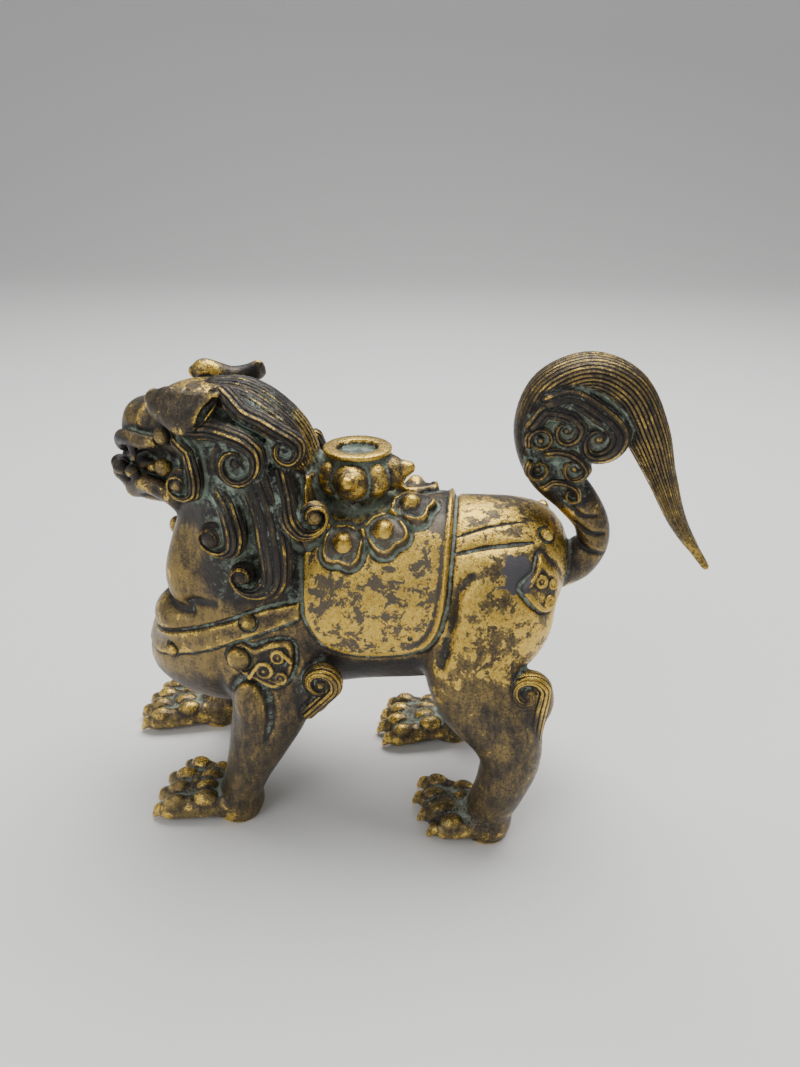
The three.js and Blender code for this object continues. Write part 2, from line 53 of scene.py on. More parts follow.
# The right legs lean ahead of their drawn place: how far at the floor, from which height down, and a power
# that is one for an even lean.
FORE_LEAN = (-26, 82, 1)
HIND_LEAN = (-16, 67, 1.4)

# Sections of the body across X: x, y, z, half width, half height.
TRUNK = [
    (-94.5, 0, 61.5, 4, 5), (-92, 0, 62, 12, 10.5), (-85, 0, 64, 21, 16.3), (-75, 0, 67, 26.5, 24.6),
    (-60, 0, 75, 30.5, 36), (-38, 0, 83, 30, 38), (-12, 0, 87.3, 28.2, 35.8), (14, 0, 90, 28, 35.2),
    (37, 0, 92.6, 28, 33.2), (48, 0, 97.6, 26, 27.2), (55, 0, 101.5, 21.5, 20.8), (60.5, 0, 104, 14, 13),
    (63.5, 0, 104.4, 5, 5),
]

# Sections of the neck across Z: x, y, z, half depth along X, half width along Y.
NECK = [
    (-58, 0, 66, 20, 20), (-54.5, 0, 90, 28, 28), (-51, 0, 104, 27.5, 29.5), (-50, 0, 115, 26, 30.5),
    (-49.5, 0, 126, 25, 30.5), (-51.5, 0, 140, 23, 28), (-54.5, 0, 150, 19.5, 22.5), (-57, 0, 157, 13, 15),
    (-59, 0, 161.5, 6, 7),
]

# The middle of the neck for what runs round it, and the number of strands cut round it.
NECK_X = -50
NECK_STRANDS = 34

# The throat: a ridge in the middle, a round on it and a column on each side.
THROAT = [(-72.5, 0, 121, 6, 5.5), (-73.6, 0, 110, 7, 6), (-75.5, 0, 99, 9, 7)]
THROAT_ROUND = [((-80.4, 0, 110.5), (2.6, 3.2, 3.4), 2)]
COLUMN = [
    (-63.5, -15.5, 124, 7, 7), (-67.5, -17, 112, 8.2, 8), (-70.5, -17.4, 100, 9.5, 8), (-71, -14, 87, 8, 6),
]

# Rounds that fill out the breast and the haunch, drawn for the left side: place, radii, blend.
CHEST_ROUNDS = [((-70, -12, 82), (17, 15, 11), 4), ((-77.5, -7, 98), (4.6, 4.6, 4.6), 3)]
HAUNCH_ROUNDS = [((37, -17.6, 92), (16.5, 12.3, 18), 5), ((29, -20.6, 100), (9, 7.4, 9.5), 6)]

# Sections of a leg, drawn for the left side: x, y, z, half depth along X, half thickness along Y.
FORE_LEG = [
    (-42, -17, 82, 19, 14), (-41.5, -22, 66, 17, 12.5), (-42, -26, 52, 14.6, 11),
    (-46.5, -28, 38, 11.6, 9.8), (-52, -28.5, 23, 8.6, 8.8), (-55.5, -28, 12, 7.4, 8),
    (-58, -27.5, 3, 7, 7),
]
HIND_LEG = [
    (39, -12, 106, 18, 13), (37, -17.5, 91, 21.5, 14), (32, -22.5, 76, 18.5, 13.3),
    (34.5, -26.5, 62, 16.5, 12), (43, -28.5, 49, 13.8, 11), (46, -29.5, 37, 11, 10.2),
    (43.5, -29.5, 24, 9.4, 9.6), (40, -28, 12, 8.6, 8.6), (38, -27.5, 3, 8, 7.5),
]

# Paws: side, x, distance from the middle, turn about Z in degrees, reach of the toes and how much shorter
# each toe is than the one inside it.
PAWS = [
    (LEFT, -60.5, 26.6, -8, 54, 0.7),
    (RIGHT, -86.5, 27.6, 0, 54.6, 0.5),
    (LEFT, 36, 27.2, -10, 53.6, 4.2),
    (RIGHT, 20, 28, 1, 52.5, 0.5),
]
PAW_ROUNDS = [((2.5, 0, 5), (9.6, 9.4, 8), 4), ((-9, 0, 5), (12, 10.5, 6), 3)]

# The toes fan out from a root behind the paw's place, by these degrees; the innermost is a little shorter
# still. Nothing of a toe sits nearer its root than the clear length.
TOE_ROOT = 22
FAN_START = -15.2
FAN_STEP = 10.1
INNER_SHORTER = 2.2
HEEL_CLEAR = 16

# A toe and its claw (height, half width, half depth) and its knuckles (height, radius) from the heel
# forwards, each led by how far behind the tip it is.
TOE = [(33, 6.6, 4, 4.6), (24, 6.2, 4.3, 4.4), (14, 5.4, 4.4, 4.2), (6.5, 4.6, 4, 3.8)]
CLAW = [(3, 3.6, 1.7, 1.8), (1.2, 2.4, 1.4, 1.5), (0.5, 1.2, 0.8, 0.8)]
KNUCKLES = [(29.5, 8.6, 3.3), (21.6, 9.4, 4.3), (15.2, 7, 3.2), (9.6, 7.2, 4.1), (4.4, 4.6, 3.2)]

# Locks of the mane, drawn for the left side. A lock runs along its strand, half wide to each side, and
# round a half circle of the given radius whose middle lies a lead away from the curl, then winds in round
# the curl. Seen from outside the half circle begins at start (degrees, zero to the right, ninety up) and
# turns with spin; the winding narrows by tight a turn, and thin is what is left of the width at the half
# circle's end. A bead sits in the curl, which looks along face. A lock with a drop stands on the right side
# too, lower by that much.
LOCKS = [
    dict(strand=[(-50.5, -19, 165.5), (-44.6, -22, 161), (-37, -24.6, 158.4)], half=3.7,
         curl=(-30.6, -26, 151), radius=7, lead=0.5, start=100, spin=-1, tight=0.3, thin=0.6, bead=1.5,
         face=(0.25, -1, 0.2)),
    dict(strand=[(-61, -19.5, 154.3), (-54, -23.5, 155.5)], half=3.7, curl=(-45.4, -29, 147.4),
         radius=9.8, lead=1, start=80, spin=-1, tight=0.2, thin=0.55, bead=2, face=(0, -1, 0.12),
         drop=13),
    dict(strand=[(-67.5, -17.5, 149.5), (-62.5, -21.5, 146)], half=3.1, curl=(-66, -26, 138), radius=7.2,
         lead=2.4, start=25, spin=-1, tight=0.4, thin=0.35, bead=2.9, face=(-0.15, -1, 0), drop=0),
    dict(strand=[(-53, -25, 136), (-49.4, -28.5, 131)], half=4.3, curl=(-55.2, -31, 122), radius=8.9,
         lead=4, start=15, spin=-1, tight=0.45, thin=0.2, bead=3.5, face=(-0.15, -1, -0.1)),
    dict(strand=[(-39.4, -29, 141), (-36, -31.5, 131), (-34.6, -32.8, 120)], half=5.8,
         curl=(-45.9, -33, 109.2), radius=10.6, lead=6.2, start=5, spin=-1, tight=0.5, thin=0.17,
         bead=2.8, face=(0, -1, -0.05), drop=8),
    dict(strand=[(-32.8, -26.5, 143), (-30.6, -29.5, 135)], half=3.5, curl=(-21.3, -31, 131), radius=8.2,
         lead=3.6, start=185, spin=1, tight=0.5, thin=0.25, bead=2.8, face=(0.3, -1, 0), drop=6),
    dict(strand=[(-51, -5, 159.5), (-43, -7.5, 157)], half=4.2, curl=(-34.5, -9.5, 146), radius=8,
         lead=0.8, start=100, spin=1, tight=0.3, thin=0.5, bead=1.8, face=(1, -0.45, 0.45), drop=12),
]

# Tufts on the back of the legs, drawn for the left side: a lock, the height at which the leg's lean carries
# it, the lean and the round under it.
ELBOW = dict(strand=[(-27, -29.5, 53)], half=3.2, curl=(-21.4, -32, 67), radius=7.4, lead=0.4, start=-50,
             spin=1, tight=0.28, thin=0.62, bead=2, face=(0.1, -1, 0), depth=4.4, blend=0.8)
HOCK = dict(strand=[(47, -29.5, 38), (53, -30, 48)], half=3.4, curl=(50.4, -30.4, 67), radius=8.4, lead=0.8,
            start=-40, spin=1, tight=0.22, thin=0.6, bead=1.6, face=(0.15, -1, 0.05), depth=3.8, blend=1)
TUFTS = [
    (ELBOW, 58, FORE_LEAN, ((-26.4, -27.6, 60), (7.6, 5, 10), 2)),
    (HOCK, 60, HIND_LEAN, ((51.5, -28, 62), (8.6, 5.5, 12), 3)),
]

# Flat bands of hair over the nape: the way a band faces at its two ends, and its x, y, z, half width and
# half height.
NAPE = [
    ([(0.2, -0.9, 0.9), (1, -0.9, 0.4)],
     [(-57, -13, 164, 3, 2), (-49, -15, 163.5, 5, 3), (-40, -17, 159, 5.5, 3), (-32, -17.5, 152.5, 5, 3),
      (-27.5, -18, 144, 4, 2.4)]),
    ([(0, 0, 1), (1, 0, 0)],
     [(-60, 0, 165, 4, 2), (-50, 0, 164, 6, 3), (-40, 0, 159, 6.5, 3), (-31, 0, 149, 6.5, 3.2),
      (-27, 0, 136, 6, 3), (-25, 0, 124, 4.5, 2)]),
]

# The head's parts, drawn straight and for the left side. Sections: x, y, z, half width, half height.
SKULL = [
    (-50, 0, 150, 13, 12), (-58, 0, 151, 18.5, 14), (-70, 0, 151, 17.5, 14.2), (-78, 0, 151, 14, 11.5),
    (-84, 0, 150.5, 12, 8.5), (-89, 0, 148.5, 9.5, 7),
]
JAW = [
    (-66, 0, 129, 14, 8.5), (-79, 0, 126.5, 12.5, 6), (-87, 0, 126, 11.6, 4.4), (-93, 0, 128.6, 10, 4.6),
    (-98, 0, 131, 7.4, 4.4),
]
BROW_GROOVE = [
    (-82, -15, 153, 1.5, 2), (-80.5, -9, 158.6, 1.5, 2), (-80.2, 0, 161.6, 1.5, 2),
    (-80.5, 9, 158.6, 1.5, 2), (-82, 15, 153, 1.5, 2),
]
LIP = [
    (-93.4, -2, 142.2, 2.4, 2.4), (-94, -6, 142.8, 3, 3), (-92.6, -9, 145.8, 3, 3),
    (-88.5, -12, 147, 2.8, 2.8), (-83, -14, 146.8, 2.6, 2.6), (-78, -15.4, 147.4, 2, 2),
]
JAW_RIDGE = [
    (-91, -8.6, 127, 3.6, 3.4), (-84, -12.4, 130.6, 3.4, 3.2), (-74, -14.8, 127.8, 3.3, 3),
    (-66, -18, 122.6, 3, 2.6),
]
FANG = [(-88, -11.4, 143.8, 1.8, 1.8), (-88, -11.8, 139, 0.7, 0.7)]
EAR = [
    (-75.4, -15.4, 162.6, 3.4, 2.8), (-72.4, -17, 161.6, 5.6, 4), (-67, -18.8, 160.9, 7, 4.6),
    (-61.8, -20.2, 160, 8, 4.4), (-58, -21, 161.6, 6.2, 3.6), (-54, -21.6, 164, 3.8, 2.6),
    (-50.4, -22, 166.4, 1.2, 1.2),
]
EAR_HOLLOW = [(-50.4, -22.4, 165.6, 0.9, 1.2), (-54, -23, 161.6, 1.3, 1.8), (-57.5, -22.6, 156.8, 1.2, 1.5)]
FAR_EAR = [
    (-74, 13, 164.4, 2.6, 2), (-70.8, 13.6, 165, 4.4, 4), (-66.4, 15, 163.8, 4.2, 4),
    (-61.6, 17.4, 162.6, 3.4, 3.6), (-56.6, 20.6, 163, 3.6, 3), (-52.8, 22.8, 164.2, 4, 2.2),
    (-52, 23.2, 164.4, 3.4, 1),
]

# Rounds of the head: place and radii, or a single radius last.
SNOUT = ((-87.3, 0, 151.4), (7.8, 11, 6.9))
CHEEKS = ((-73, 0, 138), (11, 11.5, 10.5))
MOUTH_FRONT = ((-93, 0, 139.4), (7, 9.5, 2.6))
MOUTH_CORNER = ((-82.5, -11.5, 140.2), (8, 5, 4.4))
PALATE = ((-81, 0, 141), (8, 5.4, 6))
TONGUE = ((-86, 0, 134.6), (9, 6.4, 3.4))
EYE_SOCKET = ((-73.2, -18.4, 150.2), 4.3)
EYE = ((-73.2, -16.6, 150.3), (3.2, 3, 3.2))
TEETH = [((-76.6, -13, 137.4), (3, 2.8, 3.2)), ((-81.5, -10.4, 136), (2.4, 2.2, 2.2))]
LIP_BEADS = [
    (-95.6, -8.4, 134.6, 3.1), (-98.4, -4, 134.3, 3.4), (-89.5, -11.4, 134.4, 2.7), (-92.6, -5, 127.6, 4.4),
]

# The tail in the middle plane: x, y, z, half width in the plane, half thickness along Y.
TAIL = [
    (60, 0, 101, 8, 8), (66.5, 0, 104.5, 7.2, 7.4), (70.8, 0, 111.5, 6, 6.6), (69.8, 0, 119.5, 6, 6.4),
    (63.2, 0, 128.6, 7, 6.8), (53.2, 0, 138.5, 7.4, 7.2), (48, 0, 152, 6.8, 7.6), (52.4, 0, 165, 7.4, 8),
    (64.5, 0, 171.1, 7, 8), (76.6, 0, 165.6, 7.8, 7.6), (85, 0, 151.5, 7.4, 6.8), (92, 0, 136, 4.9, 5.2),
    (99.8, 0, 119.6, 3.1, 3.8), (111.4, 0, 103.4, 1.3, 1.6),
]

# How deep the tail is combed from its root to its tip, and the rounds that fill its loop.
TAIL_COMBING = (0, 0, 0.05, 0.35, 0.42, 0.42, 0.3)
TAIL_ROUNDS = [((58, 0, 150), (12.5, 5.2, 17), 1), ((69, 0, 154), (10, 4.4, 9.4), 1)]

# Curls on each face of the tail, as seen from the left, in the plane (x, z).
TAIL_CURLS = [
    dict(strand=[(52.5, 163), (59.5, 164.6)], half=4.5, curl=(68.7, 151.8), radius=10, lead=0.9, start=62,
         spin=-1, tight=0.15, thin=0.6, bead=1.8),
    dict(strand=[(47.4, 155.5), (51.6, 160.4)], half=3.5, curl=(58.2, 154.4), radius=7.4, lead=0.8,
         start=75, spin=-1, tight=0.2, thin=0.55, bead=1.7),
    dict(strand=[], half=2, curl=(49.8, 150.6), radius=5.4, lead=0.4, start=200, spin=-1, tight=0.35,
         thin=0.6, bead=1.5),
    dict(strand=[(53, 146.5), (58, 147.3)], half=2.4, curl=(61.8, 141.2), radius=5.9, lead=0.3, start=80,
         spin=-1, tight=0.3, thin=0.6, bead=1.6),
    dict(strand=[], half=1.8, curl=(49.8, 140.4), radius=4.6, lead=0.4, start=150, spin=1, tight=0.35,
         thin=0.6, bead=1.4),
    dict(strand=[(52.5, 134), (57, 136.8)], half=1.8, curl=(62, 132.2), radius=4.2, lead=0.3, start=85,
         spin=-1, tight=0.3, thin=0.6, bead=1.3),
]

# The stand: where it is along X, and its half section as radius and height.
STAND_X = -11.8
STAND_PROFILE = [
    (0, 108), (9.4, 110), (9.4, 124), (10.6, 127), (11.6, 131), (12, 134.6), (11.4, 138.4), (9.8, 141.4),
    (11.8, 142), (12.1, 143.2), (11.6, 143.8), (7.4, 143.7), (6.8, 141), (0, 140.6),
]

# Buds round the stand, large and small by turns from the first one's degrees: a body and its tips, each by
# distance from the middle, height, radii and blend.
FIRST_BUD = -93
LARGE_BUD = [
    (10.4, 134.6, (6.9, 6.5, 6.6), 0.35), (15.6, 136.2, (3.6, 3.3, 3.3), 0.5),
    (18, 136.8, (2.3, 2.3, 2.3), 0.25),
]
SMALL_BUD = [(10.2, 134.2, (5.4, 4.6, 6.4), 0.35)]

# Petals on the back round the stand: their degrees, the half axes of the oval they stand on, a petal's half
# length and half width, and the two rounds of its boss by height over the petal, radii and blend.
PETAL_TURNS = (-96, -58, -24, 24, 58, 96, 135, 180, -135)
PETAL_RING = (21.4, 18.6)
PETAL_HALF = (7.2, 6.9)
PETAL_BOSS = [(1.6, (4.4, 4.1, 3.6), 0.3), (3, (3.2, 2.9, 3.2), 0.4)]

# Outlines in side view, (x, z): the saddle cloth, which runs over the back, the leaves that hang from the
# straps and the grey patch on the rump.
CLOTH = [
    (-27.8, 140), (-27.8, 113.8), (-27.4, 105), (-26.7, 92), (-24.5, 86.4), (-21.9, 82), (-18.7, 78.8),
    (-13.8, 76.6), (-8.4, 75.6), (-3, 75.5), (2.2, 76.2), (7, 77.2), (11.1, 79.1), (14.7, 81.8),
    (17.3, 85.5), (19, 89), (19.9, 92.5), (20.9, 97), (21.5, 103), (22.2, 119.5), (22.2, 140),
]
SHOULDER_LEAF = [
    (-54.4, 75.4), (-50.4, 81), (-44.4, 80), (-38.5, 82.4), (-32, 82), (-30.8, 75), (-33, 68.4),
    (-37.8, 65.4), (-44.6, 68.6), (-51, 70.6),
]
RUMP_LEAF = [
    (51.6, 114.5), (50, 109.6), (46.2, 106), (48.6, 102), (53.2, 97), (57.6, 96), (59.4, 100.5),
    (58, 107.4), (54.4, 112),
]
PATCH = [(39.4, 113.4), (41.5, 115.4), (46.6, 115.2), (49, 112.8), (49.2, 105), (44, 103.8), (40.4, 105.4)]

# Scrolls on the leaves: x, z, radius, the degrees where they start, spin and the way they face.
SHOULDER_SCROLLS = [(-41, 72.4, 3.6, 150, -1), (-36, 77.4, 2.9, 40, 1), (-35.4, 69.4, 2.6, 250, 1)]
RUMP_SCROLLS = [
    (52.3, 107.4, 2.4, 90, -1, (0.4, -1, 0.4)), (56.4, 105.2, 2, 90, 1, (0.6, -1, 0.4)),
    (55.4, 100, 2.3, 200, 1, (0.5, -1, 0.2)),
]

# Straps in side view: x, z of the upper edge, z of the lower edge.
BREAST_STRAP = [(-104, 77, 66.5), (-84, 78, 68.5), (-65, 83.5, 75.6), (-41, 93.7, 86.3), (-28.5, 96.6, 91)]

# Lines cut in the flanks, (x, z) in side view: over the fore leg's muscle, down the front of the haunch, on
# the leaf of the rump and across the root of the tail.
MUSCLE_LINE = [
    (-55.2, 60), (-52.4, 65), (-48.6, 67.6), (-44.6, 67.6), (-41.4, 64.6), (-39.6, 59), (-39.6, 52),
    (-41.4, 45),
]
HAUNCH_LINE = [(29.5, 108.8), (25.6, 105.4), (23.4, 99), (22.3, 91), (21.4, 84), (20.2, 77)]
RUMP_LEAF_GROOVE = [(48.6, 109.4), (45.2, 105.8), (47.6, 101.4), (52.6, 96)]
STEM_FOLDS = [
    [(59.5, 129), (65.5, 124), (70.5, 123.5)], [(62.5, 121.5), (68, 117.5), (74, 117)],
    [(64, 113.5), (69, 111), (75, 109)],
]

# Lines that need all three coordinates: the crease under the throat and the edges of the strap over the
# rump.
BREAST_CREASE = [(-80.5, -12.5, 90.6), (-75, -16, 90.6), (-66, -22, 92.4), (-58, -25.5, 94)]
CRUPPER_LINES = (
    [(23, -16.5, 117.6), (35, -12.5, 119.6), (46.5, -8.5, 118.2)],
    [(22.8, -20.4, 113.4), (36, -17.4, 114.8), (49, -13.6, 114.4)],
)

# Studs: place, radius and the way they face.
STUDS = [
    ((-46.1, -31, 89.4), 2.9, (-0.1, -1, 0.2)),
    ((-77.5, -26, 72.6), 2.5, (-0.6, -1, 0.1)),
    ((50.4, -9.4, 115.6), 2.5, (0.3, -0.6, 0.8)),
]


# Clay

FAR = 8.0


def spaced(*stretches):
    """Coordinates along one axis: each stretch is (from, to, pitch)."""
    rows = [np.arange(a, b, pitch) for a, b, pitch in stretches]
    return np.concatenate(rows).astype(np.float32)


def smooth_min(a, b, k):
    if k <= 0:
        return np.minimum(a, b)
    h = np.maximum(k - np.abs(a - b), 0) / k
    return np.minimum(a, b) - h * h * (k * 0.25)


class Clay:
    """A block of space that holds the distance to the surface in millimetres, negative inside."""

    def __init__(self, xs, ys, zs):
        self.axes = (xs, ys, zs)
        self.field = np.full([len(a) for a in self.axes], FAR, np.float32)

    def window(self, low, high):
        cuts = []
        for axis, a, b in zip(self.axes, low, high):
            i = max(0, int(np.searchsorted(axis, a)) - 1)
            j = min(len(axis), int(np.searchsorted(axis, b)) + 1)
            cuts.append(slice(i, j))
        x = self.axes[0][cuts[0]][:, None, None]
        y = self.axes[1][cuts[1]][None, :, None]
        z = self.axes[2][cuts[2]][None, None, :]
        return tuple(cuts), x, y, z

    def add(self, shape, blend=0.0, sign=1):
        """Joins the shape on with a blend this many millimetres wide; sign -1 is for what is cut away."""
        cuts, x, y, z = self.window(*shape.box(max(2.0, blend)))
        self.field[cuts] = sign * smooth_min(sign * self.field[cuts], shape.distance(x, y, z), blend)

    def carve(self, shape, blend=0.0):
        self.add(shape, blend, -1)

    def raise_by(self, low, high, height):
        """Moves the surface out by height(x, y, z) millimetres within a window."""
        cuts, x, y, z = self.window(low, high)
        self.field[cuts] -= height(x, y, z).astype(np.float32)


def offset_dot(n, p, x, y, z):
    n = np.asarray(n, np.float32)
    p = np.asarray(p, np.float32)
    return (x - p[0]) * n[0] + (y - p[1]) * n[1] + (z - p[2]) * n[2]


def unit(v):
    v = np.asarray(v, float)
    return v / max(1e-9, float(np.linalg.norm(v)))


def smooth_line(rows, step):
    """Catmull-Rom through rows of numbers whose first three are a place, resampled evenly at about step."""
    rows = np.asarray(rows, float)
    if len(rows) > 2:
        padded = np.vstack([2 * rows[0] - rows[1], rows, 2 * rows[-1] - rows[-2]])
        t = np.linspace(0, 1, 16, endpoint=False)[:, None]
        fine = []
        for i in range(1, len(padded) - 2):
            a, b, c, d = padded[i - 1:i + 3]
            bend = (2 * a - 5 * b + 4 * c - d) * t**2
            twist = (3 * b - a - 3 * c + d) * t**3
            fine.append(0.5 * (2 * b + (c - a) * t + bend + twist))
        rows = np.vstack([*fine, rows[-1:]])
    gaps = np.linalg.norm(np.diff(rows[:, :3], axis=0), axis=1)
    along = np.concatenate([[0], np.cumsum(gaps)])
    count = max(2, int(round(along[-1] / step)) + 1)
    even = np.linspace(0, along[-1], count)
    return np.stack([np.interp(even, along, rows[:, k]) for k in range(rows.shape[1])], axis=1)


class Stroke:
    """A sweep through stations (x, y, z, half width, half height): the height lies along the facing."""

    def __init__(self, stations, facing, step=2.0, caps=(1.0, 1.0), ribs=0, depth=0.0, heading=None):
        rows = smooth_line(stations, step)
        self.place = rows[:, :3]
        self.w = np.maximum(rows[:, 3], 0.2)
        self.h = np.maximum(rows[:, 4], 0.2)
        self.caps, self.ribs = caps, ribs
        depths = np.atleast_1d(depth)
        self.depth = np.interp(np.linspace(0, 1, len(rows)), np.linspace(0, 1, len(depths)), depths)
        ahead = np.vstack([self.place[1:], self.place[-1:]])
        behind = np.vstack([self.place[:1], self.place[:-1]])
        self.heading = np.array([unit(v if heading is None else heading) for v in ahead - behind])
        facing = np.asarray(facing, float)
        if facing.ndim == 1:
            facing = np.tile(facing, (len(rows), 1))
        else:
            marks = np.linspace(0, 1, len(facing))
            here = np.linspace(0, 1, len(rows))
            facing = np.stack([np.interp(here, marks, facing[:, k]) for k in range(3)], axis=1)
        lean = np.sum(facing * self.heading, axis=1)[:, None]
        self.out = np.array([unit(v) for v in facing - lean * self.heading])
        self.across = np.cross(self.heading, self.out)
        self.length = np.concatenate([[0], np.cumsum(np.linalg.norm(np.diff(self.place, axis=0), axis=1))])

    def box(self, margin):
        reach = np.maximum(self.w, self.h)[:, None] + margin
        return (self.place - reach).min(0), (self.place + reach).max(0)

    def piece(self, i, x, y, z):
        """Distance, angle round the section and validity for the stretch between stations i and i + 1."""
        last = i == len(self.place) - 2
        d0 = offset_dot(self.heading[i], self.place[i], x, y, z)
        d1 = offset_dot(self.heading[i + 1], self.place[i + 1], x, y, z)
        good = np.ones(d0.shape, bool)
        if i > 0:
            good &= d0 >= 0
        if not last:
            good &= d1 <= 0
        t = np.clip(d0 / np.maximum(d0 - d1, 1e-4), 0, 1)
        a0 = offset_dot(self.across[i], self.place[i], x, y, z)
        a1 = offset_dot(self.across[i + 1], self.place[i + 1], x, y, z)
        b0 = offset_dot(self.out[i], self.place[i], x, y, z)
        b1 = offset_dot(self.out[i + 1], self.place[i + 1], x, y, z)
        w = self.w[i] + (self.w[i + 1] - self.w[i]) * t
        h = self.h[i] + (self.h[i + 1] - self.h[i]) * t
        u = (a0 + (a1 - a0) * t) / w
        v = (b0 + (b1 - b0) * t) / h
        square = u * u + v * v
        slope = (u / w) ** 2 + (v / h) ** 2
        for k, at_end, d in ((0, i == 0, -d0), (-1, last, d1)):
            if at_end:
                cap = max(0.3, self.caps[k] * min(self.w[k], self.h[k]))
                e = np.maximum(d, 0) / cap
                square = square + e * e
                slope = slope + (e / cap) ** 2
        q = np.sqrt(square)
        f = q * (q - 1) / np.sqrt(slope + 1e-8)
        return f, u, v, t, good

    def distance(self, x, y, z):
        whole = np.full(np.broadcast_shapes(x.shape, y.shape, z.shape), FAR, np.float32)
        xs, ys, zs = x.ravel(), y.ravel(), z.ravel()
        margin = FAR * 0.5
        for i in range(len(self.place) - 1):
            reach = max(self.w[i], self.h[i], self.w[i + 1], self.h[i + 1]) + margin
            low = np.minimum(self.place[i], self.place[i + 1]) - reach
            high = np.maximum(self.place[i], self.place[i + 1]) + reach
            cut = tuple(
                slice(int(np.searchsorted(axis, a)), int(np.searchsorted(axis, b)))
                for axis, a, b in zip((xs, ys, zs), low, high)
            )
            part = whole[cut]
            if part.size == 0:
                continue
            f, u, v, _, good = self.piece(i, x[cut[0]], y[:, cut[1]], z[:, :, cut[2]])
            if self.ribs:
                f = f + self.depth[i] * self.groove(u, v)
            np.minimum(part, np.where(good, f, FAR), out=part)
        return whole

    def groove(self, u, v):
        turn = np.arctan2(np.abs(v), u) / np.pi
        return 1 - np.abs(np.sin(np.pi * self.ribs * turn))

    def trace(self, points):
        """For loose points: distance, rib phase and length along the stroke."""
        best = np.full(len(points), FAR, np.float32)
        phase = np.zeros(len(points), np.float32)
        along = np.zeros(len(points), np.float32)
        low, high = self.box(2.0)
        near = np.flatnonzero(np.all((points > low) & (points < high), axis=1))
        x, y, z = points[near].T
        for i in range(len(self.place) - 1):
            f, u, v, t, good = self.piece(i, x, y, z)
            better = good & (f < best[near])
            spots = near[better]
            best[spots] = f[better]
            phase[spots] = (np.arctan2(np.abs(v), u) / np.pi)[better]
            along[spots] = (self.length[i] + t * (self.length[i + 1] - self.length[i]))[better]
        return best, phase, along


class Ball:
    """An ellipsoid; axes are the unit directions of its three radii."""

    def __init__(self, at, radii, axes=None):
        self.at = np.asarray(at, float)
        self.radii = np.asarray(radii if np.ndim(radii) else [radii] * 3, float)
        self.axes = np.eye(3) if axes is None else np.array([unit(a) for a in axes])

    def box(self, margin):
        reach = np.sqrt(((self.axes * self.radii[:, None]) ** 2).sum(0)) + margin
        return self.at - reach, self.at + reach

    def distance(self, x, y, z):
        square, slope = 0, 1e-8
        for axis, radius in zip(self.axes, self.radii):
            u = offset_dot(axis, self.at, x, y, z) / radius
            square = square + u * u
            slope = slope + (u / radius) ** 2
        q = np.sqrt(square)
        return (q * (q - 1) / np.sqrt(slope)).astype(np.float32)


def polygon(outline, x, z):
    """Signed distance in side view to a closed outline of (x, z), negative inside."""
    x, z = np.broadcast_arrays(x, z)
    best = np.full(x.shape, 1e9, np.float32)
    inside = np.zeros(x.shape, bool)
    for (x0, z0), (x1, z1) in zip(outline, outline[1:] + outline[:1]):
        dx, dz = x1 - x0, z1 - z0
        t = np.clip(((x - x0) * dx + (z - z0) * dz) / max(1e-9, dx * dx + dz * dz), 0, 1)
        best = np.minimum(best, (x - x0 - t * dx) ** 2 + (z - z0 - t * dz) ** 2)
        if z0 != z1:
            crosses = (z0 > z) != (z1 > z)
            inside ^= crosses & (x < x0 + (z - z0) * dx / dz)
    return np.where(inside, -np.sqrt(best), np.sqrt(best))


class Turned:
    """A solid turned about the upright line at x = at, y = 0, from a closed outline of (radius, height)."""

    def __init__(self, at, outline):
        self.at, self.outline = at, outline

    def box(self, margin):
        radii, heights = zip(*self.outline)
        r = max(radii) + margin
        return (self.at - r, -r, min(heights) - margin), (self.at + r, r, max(heights) + margin)

    def distance(self, x, y, z):
        return polygon(self.outline, np.sqrt((x - self.at) ** 2 + y**2), z)


CORNERS = [(i, j, k) for i in (0, 1) for j in (0, 1) for k in (0, 1)]


def sampled(grid, axes, points):
    """Values of a grid at loose points, linear between its nodes."""
    low, share = [], []
    for k, axis in enumerate(axes):
        i = np.clip(np.searchsorted(axis, points[:, k]) - 1, 0, len(axis) - 2)
        low.append(i)
        share.append(np.clip((points[:, k] - axis[i]) / (axis[i + 1] - axis[i]), 0, 1))
    total = np.zeros(len(points))
    for corner in CORNERS:
        weight = np.ones(len(points))
        for near, far in zip(share, corner):
            weight = weight * (near if far else 1 - near)
        total += weight * grid[tuple(i + far for i, far in zip(low, corner))]
    return total


# Forms

FINE = 0.36
COARSE = 0.5

clay = Clay(
    spaced((-124, -106, COARSE), (-106, -20, FINE), (-20, 42, COARSE), (42, 116, FINE)),
    spaced((-46, 48, FINE * 1.15)),
    spaced((-3, 92, COARSE), (92, 183, FINE)),
)

X, Y, Z = (1, 0, 0), (0, 1, 0), (0, 0, 1)

# What the wear follows later: combed strokes with the region each belongs to, and the frames of the petals.
marks = []
pads = []


def sided(side, row):
    """A place, direction or section drawn for the left side, as the given side has it."""
    x, y, *rest = row
    return np.array((x, -side * y, *rest), float)


def spun(row, angle, pivot=0):
    """A row turned about the upright line that stands in the middle plane at x = pivot."""
    x, y, *rest = row
    c, s = math.cos(angle), math.sin(angle)
    return (pivot + (x - pivot) * c - y * s, (x - pivot) * s + y * c, *rest)


def lean(side, z, stride, top, power):
    """How far a leg stands off its drawn place at a height; only the right ones do."""
    return stride * max(0, 1 - z / top) ** power if side == RIGHT else 0


def round_neck(x, y):
    """The angle round the neck, zero in front."""
    return np.arctan2(y, NECK_X - x)


def slope_of(points, reach=0.5):
    def value(offset):
        return sampled(clay.field, clay.axes, points + offset)

    rows = [value(step) - value(-step) for step in np.eye(3) * reach]
    return np.stack(rows, axis=1) / (2 * reach)


